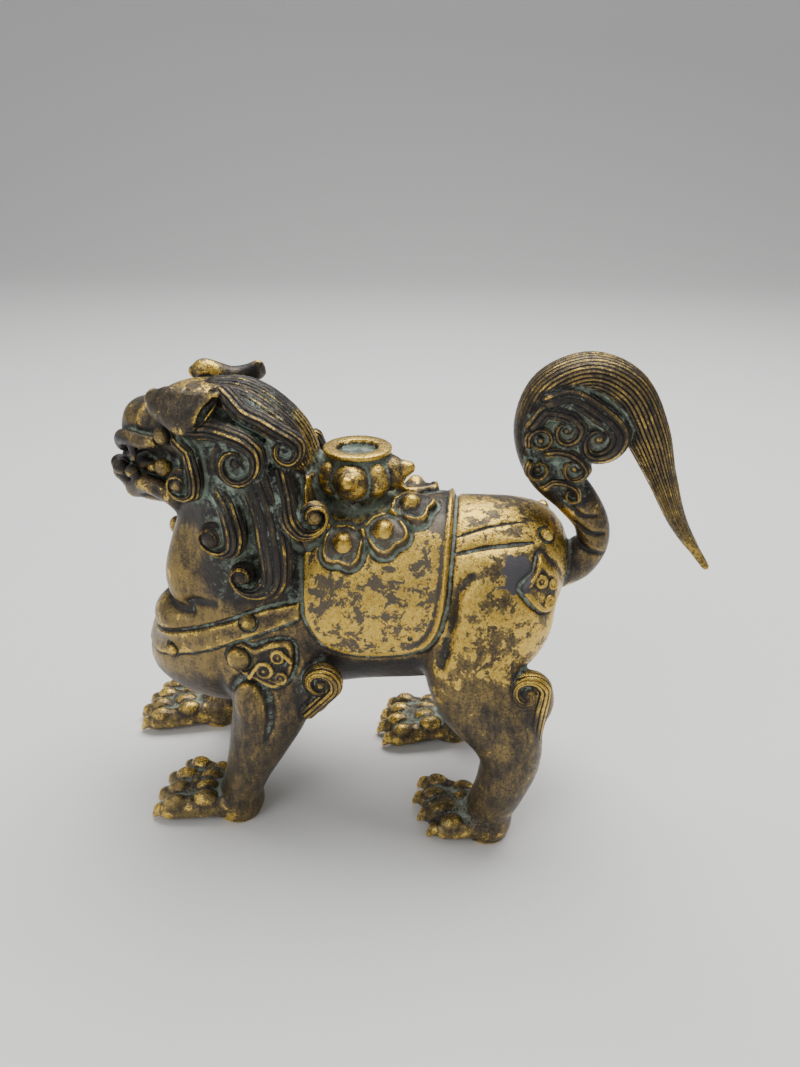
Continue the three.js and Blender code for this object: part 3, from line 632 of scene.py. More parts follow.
def settled(points, rounds=5):
    """The points moved on to the surface as built so far."""
    points = np.array(points, float)
    for _ in range(rounds):
        value = sampled(clay.field, clay.axes, points)[:, None]
        slope = slope_of(points)
        points = points - value * slope / np.maximum((slope**2).sum(1), 0.25)[:, None]
    return points


def skin(side, x, z, depth=0):
    """The place on one flank that side view shows at x and z, or one that lies deeper by the depth."""
    xs, ys, zs = clay.axes
    column = clay.field[int(np.searchsorted(xs, x)), :, int(np.searchsorted(zs, z))]
    solid = np.flatnonzero(column < 0)
    y = 0.0 if len(solid) == 0 else float(ys[solid[0] if side == LEFT else solid[-1]])
    return settled([(x, y, z)])[0] + sided(side, (0, depth, 0))


def on_skin(side, path, radius):
    """A round stroke that follows the surface along a path of (x, z) or (x, y, z)."""
    path = [skin(side, *p) if len(p) == 2 else sided(side, p) for p in path]
    points = settled(smooth_line(path, 1.2))
    from_end = np.minimum(np.arange(len(points)), np.arange(len(points))[::-1])
    sizes = radius * np.minimum(1, 0.3 + from_end / 5)
    return Stroke([(*p, r, r) for p, r in zip(points, sizes)], (0, side, 0.3), step=1.2)


def cut_line(side, path, radius, blend, shift=0.0):
    clay.carve(on_skin(side, [(p[0] + shift, *p[1:]) for p in path], radius), blend)


def rounds(side, rows, shift=0.0):
    """Balls drawn for the left side: place, radii, blend."""
    for place, radii, blend in rows:
        clay.add(Ball(sided(side, place) + (shift, 0, 0), radii), blend)


def body():
    clay.add(Stroke(TRUNK, Z, step=3, caps=(0.5, 0.5), heading=X), 0)
    clay.add(Stroke(NECK, Y, step=4, caps=(0.6, 0.6)), 5)
    clay.add(Stroke(THROAT, X, step=3, caps=(0.6, 0.4)), 2.5)
    rounds(LEFT, THROAT_ROUND)
    for side in SIDES:
        clay.add(Stroke([sided(side, row) for row in COLUMN], X, step=3, caps=(0.7, 0.5)), 4)


def combed_hair():
    """The hair between the locks lies in fine upright strands all round the neck."""
    def height(x, y, z):
        turn = round_neck(x, y)
        wave = 0.07 * np.sin(z / 6) + 0.04 * np.sin(z / 2.7 + 9 * turn)
        strands = 0.42 * (np.abs(np.sin(NECK_STRANDS * (turn + wave) / 2)) - 0.5)
        behind = np.clip((np.abs(turn) - 1.25) / 0.25, 0, 1)
        tall = np.clip((z - 97) / 5, 0, 1) * np.clip((166 - z) / 4, 0, 1)
        return strands * behind * tall

    clay.raise_by((-82, -36, 95), (-18, 36, 168), height)


def legs():
    for side in SIDES:
        for sections, way in ((FORE_LEG, FORE_LEAN), (HIND_LEG, HIND_LEAN)):
            rows = [sided(side, row) for row in sections]
            for row in rows:
                row[0] += lean(side, row[2], *way)
            clay.add(Stroke(rows, Y, step=4, caps=(0.5, 0.2)), 5)


def muscles():
    """The domed muscle of each upper fore leg under its arch, the ridge behind it and the full haunch."""
    for side in SIDES:
        shift = lean(side, 56, *FORE_LEAN)
        dome = skin(side, -46.2 + shift, 57, 2.8)
        clay.add(Ball(dome, (7, 5.6, 10.6)), 1.6)
        clay.add(Ball(dome + sided(side, (0, 1, -14)), (4.4, 5, 13)), 4)
        cut_line(side, MUSCLE_LINE, 1.3, 2, shift)
        clay.add(Ball(skin(side, -28.6, 71, 4), (5.4, 5.6, 9)), 4)
        rounds(side, HAUNCH_ROUNDS)
        cut_line(side, HAUNCH_LINE, 1.5, 3.6)


def chest():
    """The breast stands out as a full roll under the neck, parted from it by a crease."""
    for side in SIDES:
        rounds(side, CHEST_ROUNDS)
    for side in SIDES:
        cut_line(side, BREAST_CREASE, 1, 3.4)


def paw(side, x, y, turn, length, shorter):
    def placed(*row):
        dx, dy, *rest = spun(row, math.radians(turn))
        return (x + dx, side * y + dy, *rest)

    for place, radii, blend in PAW_ROUNDS:
        clay.add(Ball(placed(*place), radii), blend)
    for i in range(4):
        inner_first = i if side == LEFT else 3 - i
        fan = math.radians(FAN_START + i * FAN_STEP)
        reach = length - shorter * inner_first - INNER_SHORTER * (inner_first == 0)

        def at(back, height, *rest):
            r = reach - back
            return placed(TOE_ROOT - r * math.cos(fan), -r * math.sin(fan), height, *rest)

        toe = [at(*row) for row in TOE if reach - row[0] > HEEL_CLEAR]
        clay.add(Stroke(toe, Z, step=2, caps=(0.8, 0.9)), 0.5)
        ahead = unit(np.subtract(at(0, 0), at(10, 0)))
        axes = (ahead, np.cross(Z, ahead), Z)
        for back, height, r in KNUCKLES:
            if reach - back > HEEL_CLEAR:
                clay.add(Ball(at(back, height), (r * 1.2, r * 0.88, r * 0.9), axes), 0.5)
        clay.add(Stroke([at(*row) for row in CLAW], Z, step=1), 0.2)


def eased(rows, joint):
    """The rows at even steps of a millimetre, with the corner between strand and hook rounded off."""
    if joint < 2:
        return rows
    before = np.linalg.norm(np.diff(np.array(rows)[:joint + 1, :3], axis=0), axis=1).sum()
    path = smooth_line(rows, 1.0)
    corner = int(round(before))
    first, last = max(1, corner - 7), min(len(path) - 1, corner + 6)
    for _ in range(16):
        path[first:last] = (path[first - 1:last - 1] + 2 * path[first:last] + path[first + 1:last + 1]) / 4
    return path


def lock(strand, half, curl, radius, lead, start, spin, tight, thin, bead, face, depth=4.2, turns=1.3,
         ribs=6, groove=0.45, blend=0.5, fill=0.6, region="plain"):
    """A curled lock, as LOCKS describes it, with ribs cut groove deep and a curl filled to a share."""
    facing = unit(face)
    right = unit((-facing[1], facing[0], 0))
    up = np.cross(facing, right)
    axes = frame_of(facing)
    first = math.radians(start)
    inner = radius - lead
    rows = [(*point, half, depth) for point in strand]
    steps = max(10, int(radius * turns * 1.8))
    for i in range(steps + 1):
        turn = turns * i / steps
        angle = first + spin * turn * 2 * math.pi
        if turn < 0.5:
            outer, middle = radius, lead
            width = half * (1 + (thin - 1) * math.sin(math.pi * turn) ** 3.4)
        else:
            outer, middle = inner * tight ** (turn - 0.5), 0
            width = half * thin * (1 - 0.7 * (turn - 0.5) / (turns - 0.5))
        width = max(0.55, min(width, outer * 0.48))
        reach = outer - width
        across = middle * math.cos(first) + reach * math.cos(angle)
        along = middle * math.sin(first) + reach * math.sin(angle)
        rows.append((*(curl + right * across + up * along), width, depth * (1 - 0.22 * turn)))
    stroke = Stroke(eased(rows, len(strand)), facing, step=max(0.8, radius * 0.12), ribs=ribs, depth=groove)
    clay.add(Ball(curl - facing * depth * 0.1, (inner, inner, depth * fill), axes), 0.4)
    clay.add(stroke, blend)
    clay.add(Ball(curl + facing * depth * 0.35, (bead, bead, bead * 0.9), axes), 0.25)
    if ribs:
        marks.append((region, stroke))


def lock_on(side, shape, move=(0, 0, 0), **more):
    """A lock drawn for the left side, set on the given side and moved."""
    own = dict(shape, face=sided(side, shape["face"]), curl=sided(side, shape["curl"]) + move)
    own["strand"] = [sided(side, point) + move for point in shape["strand"]]
    if side == RIGHT:
        own["start"] = 180 - shape["start"]
        own["spin"] = -shape["spin"]
    lock(**own, **more)


def mane():
    for facing, rows in NAPE:
        stroke = Stroke(rows, facing, step=1.6, ribs=9, depth=0.55)
        clay.add(stroke, 1.5)
        marks.append(("lock", stroke))
    for shape in LOCKS:
        own = dict(shape)
        drop = own.pop("drop", None)
        lock_on(LEFT, own, region="lock")
        if drop is not None:
            lock_on(RIGHT, own, (0, 0, -drop), region="lock")


def head_stroke(rows, facing, side=LEFT, **more):
    rows = [spun(sided(side, row), HEAD_TURN, HEAD_PIVOT) for row in rows]
    return Stroke(rows, spun(sided(side, facing), HEAD_TURN), **more)


def head_ball(place, radii, side=LEFT):
    return Ball(spun(sided(side, place), HEAD_TURN, HEAD_PIVOT), radii)


def head():
    """The head is drawn looking along -X and turned as it is added."""
    clay.add(head_stroke(SKULL, Z, step=3), 3)
    clay.add(head_stroke(JAW, Z, step=3), 3)
    clay.add(head_ball(*SNOUT), 1)
    clay.carve(head_stroke(BROW_GROOVE, X, step=2), 2)
    clay.add(head_ball(*CHEEKS), 2)
    clay.carve(head_ball(*MOUTH_FRONT), 1)
    for side in SIDES:
        clay.carve(head_ball(*MOUTH_CORNER, side), 1)
    clay.add(head_ball(*PALATE), 1)
    clay.add(head_ball(*TONGUE), 1)
    for side in SIDES:
        face(side)
    ears()


def face(side):
    """One side of the lips, eye, chin, jaw and teeth."""
    clay.add(head_stroke(LIP, Z, side, step=1.4), 0.5)
    clay.carve(head_ball(*EYE_SOCKET, side), 0.4)
    clay.add(head_ball(*EYE, side), 0.15)
    for *place, r in LIP_BEADS:
        clay.add(head_ball(place, (r, r * 0.86, r * 0.92), side), 0.9)
    clay.add(head_stroke(JAW_RIDGE, Y, side, step=1.6), 1.2)
    clay.add(head_stroke(FANG, Y, side, step=1), 0.4)
    for place, radii in TEETH:
        clay.add(head_ball(place, radii, side), 0.4)


def ears():
    outward = (0, -1, 0.3)
    bed = [(x, y + 1, z - 0.6, w + 1.4, h + 2) for x, y, z, w, h in EAR_HOLLOW]
    clay.carve(head_stroke(bed, outward, step=1), 0.8)
    clay.add(head_stroke(EAR, outward, step=1.4), 1)
    clay.add(head_stroke(FAR_EAR, (0, 1, 0.5), step=1.4), 1)
    clay.carve(head_stroke(EAR_HOLLOW, outward, step=1), 0.5)


def tail():
    stroke = Stroke(TAIL, Y, step=2, caps=(0.5, 0.8), ribs=17, depth=TAIL_COMBING)
    clay.add(stroke, 2)
    marks.append(("plain", stroke))
    rounds(LEFT, TAIL_ROUNDS)
    for side in SIDES:
        for path in STEM_FOLDS:
            cut_line(side, path, 0.8, 1.2)
        for flat in TAIL_CURLS:
            x, z = flat["curl"]
            strand = [(px, -5.4, pz) for px, pz in flat["strand"]]
            shape = dict(flat, strand=strand, curl=(x, -5.8, z), face=(0, -1, 0))
            lock_on(side, shape, depth=4, groove=0.35, ribs=5, fill=0.4, region="curl")


def stand():
    """A lobed bulb with four large buds and four between them, under a flat ring round a dark hollow."""
    clay.add(Turned(STAND_X, STAND_PROFILE), 0.4)
    for i in range(8):
        out = np.array(spun(X, math.radians(FIRST_BUD + 45 * i)))
        (far, height, radii, blend), *tips = SMALL_BUD if i % 2 else LARGE_BUD
        clay.add(Ball(out * far + (STAND_X, 0, height), radii, (out, np.cross(Z, out), Z)), blend)
        for far, height, radii, blend in tips:
            clay.add(Ball(out * far + (STAND_X, 0, height), radii), blend)


def step_up(d, width):
    """One inside an edge (d negative), nothing outside it, with a soft step."""
    t = np.clip(0.5 - d / width, 0, 1)
    return t * t * (3 - 2 * t)


def bump(d, width):
    return np.exp(-((d / width) ** 2))


def saddle_cloth():
    """The cloth, whose border and the groove round it grow stronger towards the rear."""
    def height(x, y, z):
        d = polygon(CLOTH, x, z)
        rear = np.clip((x - 2) / 12, 0, 1)
        edge = 1.3 * step_up(d, 0.8)
        border = bump(d + 1.1, 0.7) * (0.1 + 0.65 * rear)
        groove = bump(d - 1.0, 0.8) * (0.65 + 0.25 * rear)
        return edge + border - groove - bump(d + 2.9, 0.6) * 0.28 * rear

    clay.raise_by((-36, -40, 66), (30, 44, 136), height)


def breast_strap():
    """A flat strap with a groove along its upper and its lower edge."""
    at, upper, lower = zip(*BREAST_STRAP)

    def height(x, y, z):
        top, bottom = np.interp(x, at, upper), np.interp(x, at, lower)
        slope = np.cos(np.arctan(np.gradient(top.ravel(), x.ravel()))).reshape(x.shape)
        above, below = (z - top) * slope, (bottom - z) * slope
        ends = np.maximum(at[0] - x, x - at[-1])
        within = step_up(ends, 1.5)
        strap = 1.3 * step_up(np.maximum(np.maximum(above, below), ends), 0.7)
        return strap - within * 0.6 * bump(above - 0.7, 0.6) - within * 0.5 * bump(below - 0.7, 0.6)

    clay.raise_by((-106, -44, 55), (-24, 46, 112), height)


def crupper():
    for side in SIDES:
        for path, radius in zip(CRUPPER_LINES, (0.55, 1)):
            cut_line(side, path, radius, 0.2)


def rounded(outline):
    """The closed outline with its corners run into a smooth curve."""
    looped = [outline[-1], *outline, outline[0], outline[1]]
    rows = smooth_line([(x, 0, z) for x, z in looped], 1.0)
    gap = np.linalg.norm(rows[:, [0, 2]] - np.array(outline[0]), axis=1)
    half = len(rows) // 2
    first, last = int(np.argmin(gap[:half])), half + int(np.argmin(gap[half:]))
    return [(float(x), float(z)) for x, _, z in rows[first:last]]


def leaf(outline, side, raised):
    """A raised leaf in side view on one flank only, with a rim and a groove round it."""
    outline = rounded(outline)
    xs, zs = zip(*outline)
    ys = (-46, -4) if side == LEFT else (4, 48)

    def height(x, y, z):
        d = polygon(outline, x, z)
        rim = raised * step_up(d, 1.4) + 0.25 * bump(d + 1, 0.7)
        return rim - 0.2 * bump(d + 2.4, 0.8) - 0.5 * bump(d - 0.9, 0.8)

    clay.raise_by((min(xs) - 4, ys[0], min(zs) - 4), (max(xs) + 4, ys[1], max(zs) + 4), height)


def back_point(x, y):
    """The place on the trunk's back over x and y, and the way its surface faces there."""
    rows = np.array(TRUNK, float)
    zc, w, h = (np.interp(x, rows[:, 0], rows[:, k]) for k in (2, 3, 4))
    rise = h * math.sqrt(max(0.02, 1 - (y / w) ** 2))
    return np.array((x, y, zc + rise)), unit((0, y / w**2, rise / h**2))


def petal(angle):
    """A square pad with a scalloped double rim round a boss, lying on the back beside the stand."""
    c, s = math.cos(angle), math.sin(angle)
    place, normal = back_point(STAND_X + PETAL_RING[0] * c, PETAL_RING[1] * s)
    away = np.array((c, s, 0))
    away = unit(away - normal * float(away @ normal))
    side = np.cross(normal, away)
    middle = place + normal * 0.8

    def height(x, y, z):
        u = offset_dot(away, middle, x, y, z) / PETAL_HALF[0]
        v = offset_dot(side, middle, x, y, z) / PETAL_HALF[1]
        u = u - 0.1 * np.abs(np.sin(np.pi * np.clip(v, -1, 1)))
        q = (u**4 + v**4) ** 0.25
        level = np.abs(offset_dot(normal, middle, x, y, z))
        near = np.clip(2.4 - level / 3, 0, 1)
        rim = 2.6 * step_up((q - 1) * 7, 1.2) + 0.5 * bump((q - 0.88) * 7, 0.5)
        return near * (rim - 0.9 * bump((q - 1.1) * 7, 0.7) - 0.45 * bump((q - 0.74) * 7, 0.5))

    clay.raise_by(middle - 12, middle + 12, height)
    pads.append((away, side, normal, middle))
    for raised, radii, blend in PETAL_BOSS:
        clay.add(Ball(middle + normal * raised, radii, (away, side, normal)), blend)


def petals():
    for degrees in PETAL_TURNS:
        petal(math.radians(degrees))


def frame_of(direction):
    """Two directions across and the direction itself."""
    direction = unit(direction)
    across = unit(np.cross(direction, (0.13, 0.21, 0.97)))
    return np.array((across, np.cross(direction, across), direction))


def studs():
    """A round knob on a flat disc in a shallow bed."""
    for place, r, out in STUDS:
        for side in SIDES:
            at = settled([sided(side, place)])[0]
            direction = unit(sided(side, out))
            axes = frame_of(direction)
            clay.carve(Ball(at, (r + 0.9, r + 0.9, 1.6), axes), 0.3)
            clay.add(Ball(at - direction * 0.4, (r, r, 2), axes), 0.15)
            clay.add(Ball(at + direction * 0.7, (r * 0.62, r * 0.62, 1.4), axes), 0.3)


def scroll(side, x, z, radius, start, spin, face=(0, -1, 0.1), trail=0.0):
    """A small curl laid on the surface; with a trail, a stem that many radii long leads into it."""
    place = sided(side, skin(side, x, z))
    cos, sin = math.cos(math.radians(start)), math.sin(math.radians(start))
    stem = radius * np.array((0.8 * cos + trail * spin * sin, 0, 0.8 * sin - trail * spin * cos))
    strand = [place + stem] if trail else []
    shape = dict(strand=strand, half=radius * 0.25, curl=place, radius=radius, lead=0, start=start,
                 spin=spin, tight=0.5, thin=0.9, bead=radius * 0.22, face=face)
    lock_on(side, shape, depth=1.2, ribs=0, groove=0, turns=1.15, blend=0.2)


def pendants():
    """The leaves that hang from the straps, with their scrolls."""
    for side in SIDES:
        leaf(SHOULDER_LEAF, side, 1.5)
        ball = skin(side, -49.8, 75.6)
        clay.carve(Ball(ball, (5.2, 2.2, 5.2)), 0.3)
        clay.add(Ball(ball + sided(side, (0, 0.4, 0)), (4.4, 3, 4.4)), 0.2)
        for row in SHOULDER_SCROLLS:
            scroll(side, *row, trail=1.5)
        leaf(RUMP_LEAF, side, 1.4)
        cut_line(side, RUMP_LEAF_GROOVE, 0.9, 0.5)
        for row in RUMP_SCROLLS:
            scroll(side, *row)


def tufts():
    for side in SIDES:
        for shape, height, way, ball in TUFTS:
            shift = lean(side, height, *way)
            rounds(side, [ball], shift)
            lock_on(side, shape, (shift, 0, 0))


def wounds():
    """The chip and the pit in the saddle cloth's gilding."""
    clay.add(Ball(skin(LEFT, 4.1, 95.8), (3.4, 0.45, 2.6)), 0.1)
    clay.carve(Ball(skin(LEFT, 9.4, 85), 0.9), 0.1)


def paws():
    for row in PAWS:
        paw(*row)


def floor_cut():
    z = clay.axes[2][None, None, :]
    np.maximum(clay.field, 0.02 - z, out=clay.field)


for build in (body, combed_hair, legs, muscles, chest, saddle_cloth, breast_strap, crupper, pendants, studs,
              wounds, petals, stand, mane, tufts, head, tail, paws, floor_cut):
    build()


# Skin

def surface(clay):
    """A point in millimetres for each cell that the surface crosses, and the quads that join them."""
    field = clay.field
    inside = field < 0
    tally = np.zeros([n - 1 for n in field.shape], np.uint8)
    nx, ny, nz = tally.shape
    for i, j, k in CORNERS:
        tally += inside[i:i + nx, j:j + ny, k:k + nz]
    active = (tally > 0) & (tally < 8)
    cells = np.argwhere(active).astype(np.int32)
    order = np.full(active.shape, -1, np.int32)
    order[active] = np.arange(len(cells), dtype=np.int32)
    value = np.stack([field[tuple((cells + corner).T)] for corner in CORNERS], axis=1)
    spots = np.zeros((len(cells), 3), np.float32)
    count = np.zeros(len(cells), np.float32)
    for a in range(8):
        for b in range(a + 1, 8):
            step = np.subtract(CORNERS[b], CORNERS[a])
            if abs(step).sum() != 1:
                continue
            crosses = (value[:, a] < 0) != (value[:, b] < 0)
            va, vb = value[crosses, a], value[crosses, b]
            t = (va / (va - vb))[:, None]
            spots[crosses] += np.asarray(CORNERS[a], np.float32) + t * step.astype(np.float32)
            count[crosses] += 1
    spots /= count[:, None]
    quads = []
    for axis in range(3):
        ahead = [slice(None)] * 3
        here = [slice(None)] * 3
        for k in range(3):
            if k == axis:
                here[k], ahead[k] = slice(0, -1), slice(1, None)
            else:
                here[k] = ahead[k] = slice(1, -1)
        change = inside[tuple(here)] != inside[tuple(ahead)]
        at = np.argwhere(change)
        others = [k for k in range(3) if k != axis]
        at[:, others[0]] += 1
        at[:, others[1]] += 1
        corner = []
        for du, dv in ((1, 1), (0, 1), (0, 0), (1, 0)):
            cell = at.copy()
            cell[:, others[0]] -= du
            cell[:, others[1]] -= dv
            corner.append(order[tuple(cell.T)])
        quad = np.stack(corner, axis=1)
        solid_here = inside[tuple(at.T)]
        flip = solid_here if axis != 1 else ~solid_here
        quad[flip] = quad[flip][:, ::-1]
        quads.append(quad)
    points = [a[i] + s * (a[i + 1] - a[i]) for a, i, s in zip(clay.axes, cells.T, spots.T)]
    return np.stack(points, axis=1), np.concatenate(quads)


def mesh_from(name, points, faces):
    mesh = bpy.data.meshes.new(name)
    mesh.vertices.add(len(points))
    mesh.vertices.foreach_set("co", points.astype(np.float32).ravel())
    size = faces.shape[1]
    mesh.loops.add(faces.size)
    mesh.loops.foreach_set("vertex_index", faces.astype(np.int32).ravel())
    mesh.polygons.add(len(faces))
    mesh.polygons.foreach_set("loop_start", np.arange(0, faces.size, size, dtype=np.int32))
    mesh.polygons.foreach_set("use_smooth", np.ones(len(faces), bool))
    mesh.update(calc_edges=True)
    return mesh


def main_part(count, edges):
    """Which points hang together with the largest body, so that no loose crumb stays."""
    label = np.arange(count)
    a, b = edges.T
    while True:
        low = np.minimum(label[a], label[b])
        fresh = label.copy()
        np.minimum.at(fresh, a, low)
        np.minimum.at(fresh, b, low)
        np.minimum.at(fresh, label, fresh.copy())
        fresh = fresh[fresh]
        if np.array_equal(fresh, label):
            break
        label = fresh
    return label == np.bincount(label).argmax()


def put(name, data):
    """A new object with this data in the scene."""
    made = bpy.data.objects.new(name, data)
    bpy.context.scene.collection.objects.link(made)
    return made


def thinned(shown, triangles, quads):
    """The mesh of an object brought down to a number of triangles."""
    thin = shown.modifiers.new("thin", "DECIMATE")
    thin.ratio = min(1, triangles / (2 * quads))
    thin.use_collapse_triangulate = True
    bpy.context.view_layer.update()
    made = bpy.data.meshes.new_from_object(shown.evaluated_get(bpy.context.evaluated_depsgraph_get()))
    shown.modifiers.clear()
    made.polygons.foreach_set("use_smooth", np.ones(len(made.polygons), bool))
    return made


TO_FRAME = np.array([-BOX_MIDDLE[0], -BOX_MIDDLE[1], 0], np.float32)
TRIANGLES = 196000

points, quads = surface(clay)
kept = main_part(len(points), np.concatenate([quads[:, i:i + 2] for i in range(3)]))
place_of = np.cumsum(kept) - 1
quads = place_of[quads[kept[quads[:, 0]]]]

full = mesh_from("full", (points[kept] + TO_FRAME) * MM, quads[:, ::-1])
lion = put("lion_cast", full)
final = thinned(lion, TRIANGLES, len(quads))
lion.data = final
bpy.data.meshes.remove(full)
final.name = "lion_cast"

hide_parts("lion")
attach(lion, "root")


# Wear, deposits and painted shade

GRAIN = 0.6


def even_block(field, axes, step):
    """The field on an even grid, and that grid's axes."""
    fresh_axes = []
    for k, axis in enumerate(axes):
        fresh = np.arange(axis[0], axis[-1], step, dtype=np.float32)
        i = np.clip(np.searchsorted(axis, fresh) - 1, 0, len(axis) - 2)
        shape = [1, 1, 1]
        shape[k] = len(fresh)
        t = ((fresh - axis[i]) / (axis[i + 1] - axis[i])).reshape(shape)
        field = np.take(field, i, axis=k) * (1 - t) + np.take(field, i + 1, axis=k) * t
        fresh_axes.append(fresh)
    return field.astype(np.float32), fresh_axes


def spread(block, reach):
    """A block of numbers averaged over a cube of the given reach in cells."""
    for k in range(3):
        pad = [(0, 0)] * 3
        pad[k] = (reach + 1, reach)
        total = np.cumsum(np.pad(block, pad), axis=k, dtype=np.float32)
        width = 2 * reach + 1
        ahead = [slice(None)] * 3
        behind = [slice(None)] * 3
        ahead[k] = slice(width, None)
        behind[k] = slice(None, -width)
        block = (total[tuple(ahead)] - total[tuple(behind)]) / width
    return block


def at_vertices(name):
    values = np.empty(len(final.vertices) * 3, np.float32)
    final.vertices.foreach_get(name, values)
    return values.reshape(-1, 3)


spot = at_vertices("co") / MM - TO_FRAME
normal = at_vertices("normal")
solid, grid_axes = even_block(clay.field, clay.axes, GRAIN)
solid = np.clip(0.5 - solid, 0, 1)


def crowding(reach, strength):
    """How much metal stands round each point: above zero in a hollow, below zero on a ridge."""
    return (sampled(spread(spread(solid, reach), reach), grid_axes, spot) - 0.5) * strength


fine, middle, broad = crowding(1, 4), crowding(3, 3), crowding(9, 2)

# Where each region's strokes lie, the strands' number across the nearest stroke, and how clear they are
# there.
tuft = {}
comb = np.zeros(len(spot))
combed = np.zeros(len(spot))
nearest = np.full(len(spot), 1.2)
for region, stroke in marks:
    gap, phase, along = stroke.trace(spot)
    on = np.clip(1.4 - gap / 0.8, 0, 1)
    cut = np.clip(np.interp(along, stroke.length, stroke.depth) / 0.3, 0, 1)
    tuft[region] = np.maximum(tuft.get(region, 0), on)
    closer = gap < nearest
    comb[closer] = phase[closer] * stroke.ribs
    combed[closer] = (on * cut)[closer]
    nearest[closer] = gap[closer]


def fade(value, start, end):
    """Zero at start, one at end, soft between."""
    t = np.clip((value - start) / (end - start), 0, 1)
    return t * t * (3 - 2 * t)


x, y, z = spot.T
across = np.abs(y)
turn = np.abs(round_neck(x, y))
from_stand = np.hypot(x - STAND_X, y)
cloth = polygon(CLOTH, x, z)
off_lock = 1 - tuft["lock"]

neck_hair = fade(turn, 1.1, 1.4) * fade(z, 94, 99) * (z < 172) * fade(x, -12, -18) * fade(cloth, -0.6, 0.6)
mane_mask = np.maximum(tuft["lock"] * fade(x, -20, -24), neck_hair)
on_cloth = fade(cloth, 0.6, -0.6) * fade(z, 70, 73) * (z < 124) * off_lock
on_stand = fade(from_stand, 22, 19) * fade(z, 120, 123)
in_recess = on_stand * fade(z, 141.6, 141.2) * fade(from_stand, 7.6, 7)
round_stand = fade(z, 113, 118) * fade(across, 20, 14) * fade(x, -20, -15) * fade(x, 23, 19) * (1 - on_stand)
on_petals = np.zeros(len(spot))
on_bosses = np.zeros(len(spot))
for away, side, up, boss in pads:
    u, v, level = (offset_dot(axis, boss, x, y, z) for axis in (away, side, up))
    near = fade(np.abs(level), 8, 6)
    on_petals = np.maximum(on_petals, fade((u**4 + v**4) ** 0.25, 9, 7.8) * near)
    on_bosses = np.maximum(on_bosses, fade(np.hypot(u, v), 4.6, 3.6) * near)
on_tail = np.maximum(fade(x, 63, 66) * fade(z, 96, 99), fade(z, 124, 128) * (x > 34))
in_loop = fade(np.hypot((x - 60) / 22, (z - 147) / 22), 1, 0.8) * fade(across, 9.5, 7)
in_curls = np.maximum(tuft["curl"], in_loop) * on_tail
hind_part = fade(x, 17, 22) * (1 - on_tail)
on_head = fade(x, -48, -54) * fade(z, 121, 125) * off_lock
in_front = fade(x, -50, -56) * fade(z, 58, 64) * (1 - on_head) * (1 - mane_mask)
in_mouth = on_head * fade(np.hypot((x + 97) / 17, (z - 141) / 9), 1, 0.6)
low_leg = fade(z, 62, 46)
on_paw = fade(z, 19, 14)
# Painted shade: surfaces that face down under the trunk are made darker.
shaded_underside = fade(normal[:, 2], -0.1, -0.5) * fade(z, 78, 72) * fade(z, 52, 60)
bare = fade(polygon(PATCH, x, z), 0.3, -0.3) * (y < 0)

# How rubbed, gilt, green and dusty the bronze is all over, and then region by region, each laid over the
# last; on the underside the coats are set lower as painted shade.
coats = [np.full(len(spot), share) for share in (0.42, 0.2, 0.05, 0.06)]
for mask, goals in (
    (hind_part, (0.62, 0.5, -0.05, 0.05)),
    (hind_part * fade(z, 88, 62), (0.52, 0.22, 0, 0.1)),
    (hind_part * fade(z, 104, 114), (0.55, 0.48, -0.05, 0.25)),
    (on_cloth, (0.5, 0.53, -0.15, 0)),
    (on_cloth * fade(x, -6, -18), (0.5, 0.48, -0.12, 0)),
    (on_cloth * fade(z, 104, 114), (0.4, 0.5, 0.1, 0.3)),
    (in_front, (0.62, 0.26, -0.08, 0)),
    (low_leg, (0.38, 0.14, 0, 0.12)),
    (low_leg * hind_part, (0.42, 0.18, 0, 0.12)),
    (on_paw, (0.48, 0.26, 0.16, 0.5)),
    # Painted shade on the underside.
    (shaded_underside, (0.16, 0.02, 0.05, 0.1)),
    (on_head, (0.24, 0.16, 0.08, 0)),
    (on_head * fade(z, 150, 155) * fade(x, -76, -80), (0.5, 0.26, 0, 0)),
    (on_head * fade(z, 161, 163) * fade(across, 15, 12), (0.5, 0.42, 0, 0)),
    (in_mouth, (-0.25, -0.2, 0.26, 0.1)),
    (mane_mask, (-0.04, -0.04, 0.5, 0.3)),
    (round_stand, (0.25, 0.2, 0.38, 0.34)),
    (on_petals, (0.2, 0.08, 0.4, 0.36)),
    (on_bosses, (0.55, 0.5, 0, 0.05)),
    (on_stand, (0.48, 0.34, 0.42, 0.4)),
    (on_stand * fade(z, 140.6, 141.6), (0.45, 0.3, 0.4, 0.35)),
    (in_recess, (0.1, 0, 0.3, 0.2)),
    (on_tail, (0.36, 0.1, 0.08, 0.1)),
    (in_curls, (0.06, -0.04, 0.42, 0.26)),
):
    for values, goal in zip(coats, goals):
        values += (goal - values) * mask


def store(name, *columns):
    """Up to four numbers a vertex, as the channels of a colour; a channel that isn't given is one."""
    block = np.ones((len(spot), 4), np.float32)
    block[:, :len(columns)] = np.stack(columns, axis=1)
    final.color_attributes.new(name, "FLOAT_COLOR", "POINT").data.foreach_set("color", block.ravel())


store("coats", *coats)
store("relief", fine, middle, broad, combed)
store("combing", comb, bare, on_cloth)


# Material

bronze = bpy.data.materials.new("gilt_bronze")
bronze.use_nodes = True
tree = bronze.node_tree


def add(kind, inputs=(), out=0, **settings):
    """A node with its settings and inputs, which are numbers or other nodes' outputs; gives one output."""
    node = tree.nodes.new(kind)
    for name, value in settings.items():
        setattr(node, name, value)
    for key, value in dict(inputs).items():
        if isinstance(value, bpy.types.NodeSocket):
            tree.links.new(value, node.inputs[key])
        else:
            node.inputs[key].default_value = value
    return node.outputs[out]


def calc(operation, *terms):
    return add("ShaderNodeMath", enumerate(terms), operation=operation)


def times(a, b):
    return calc("MULTIPLY", a, b)


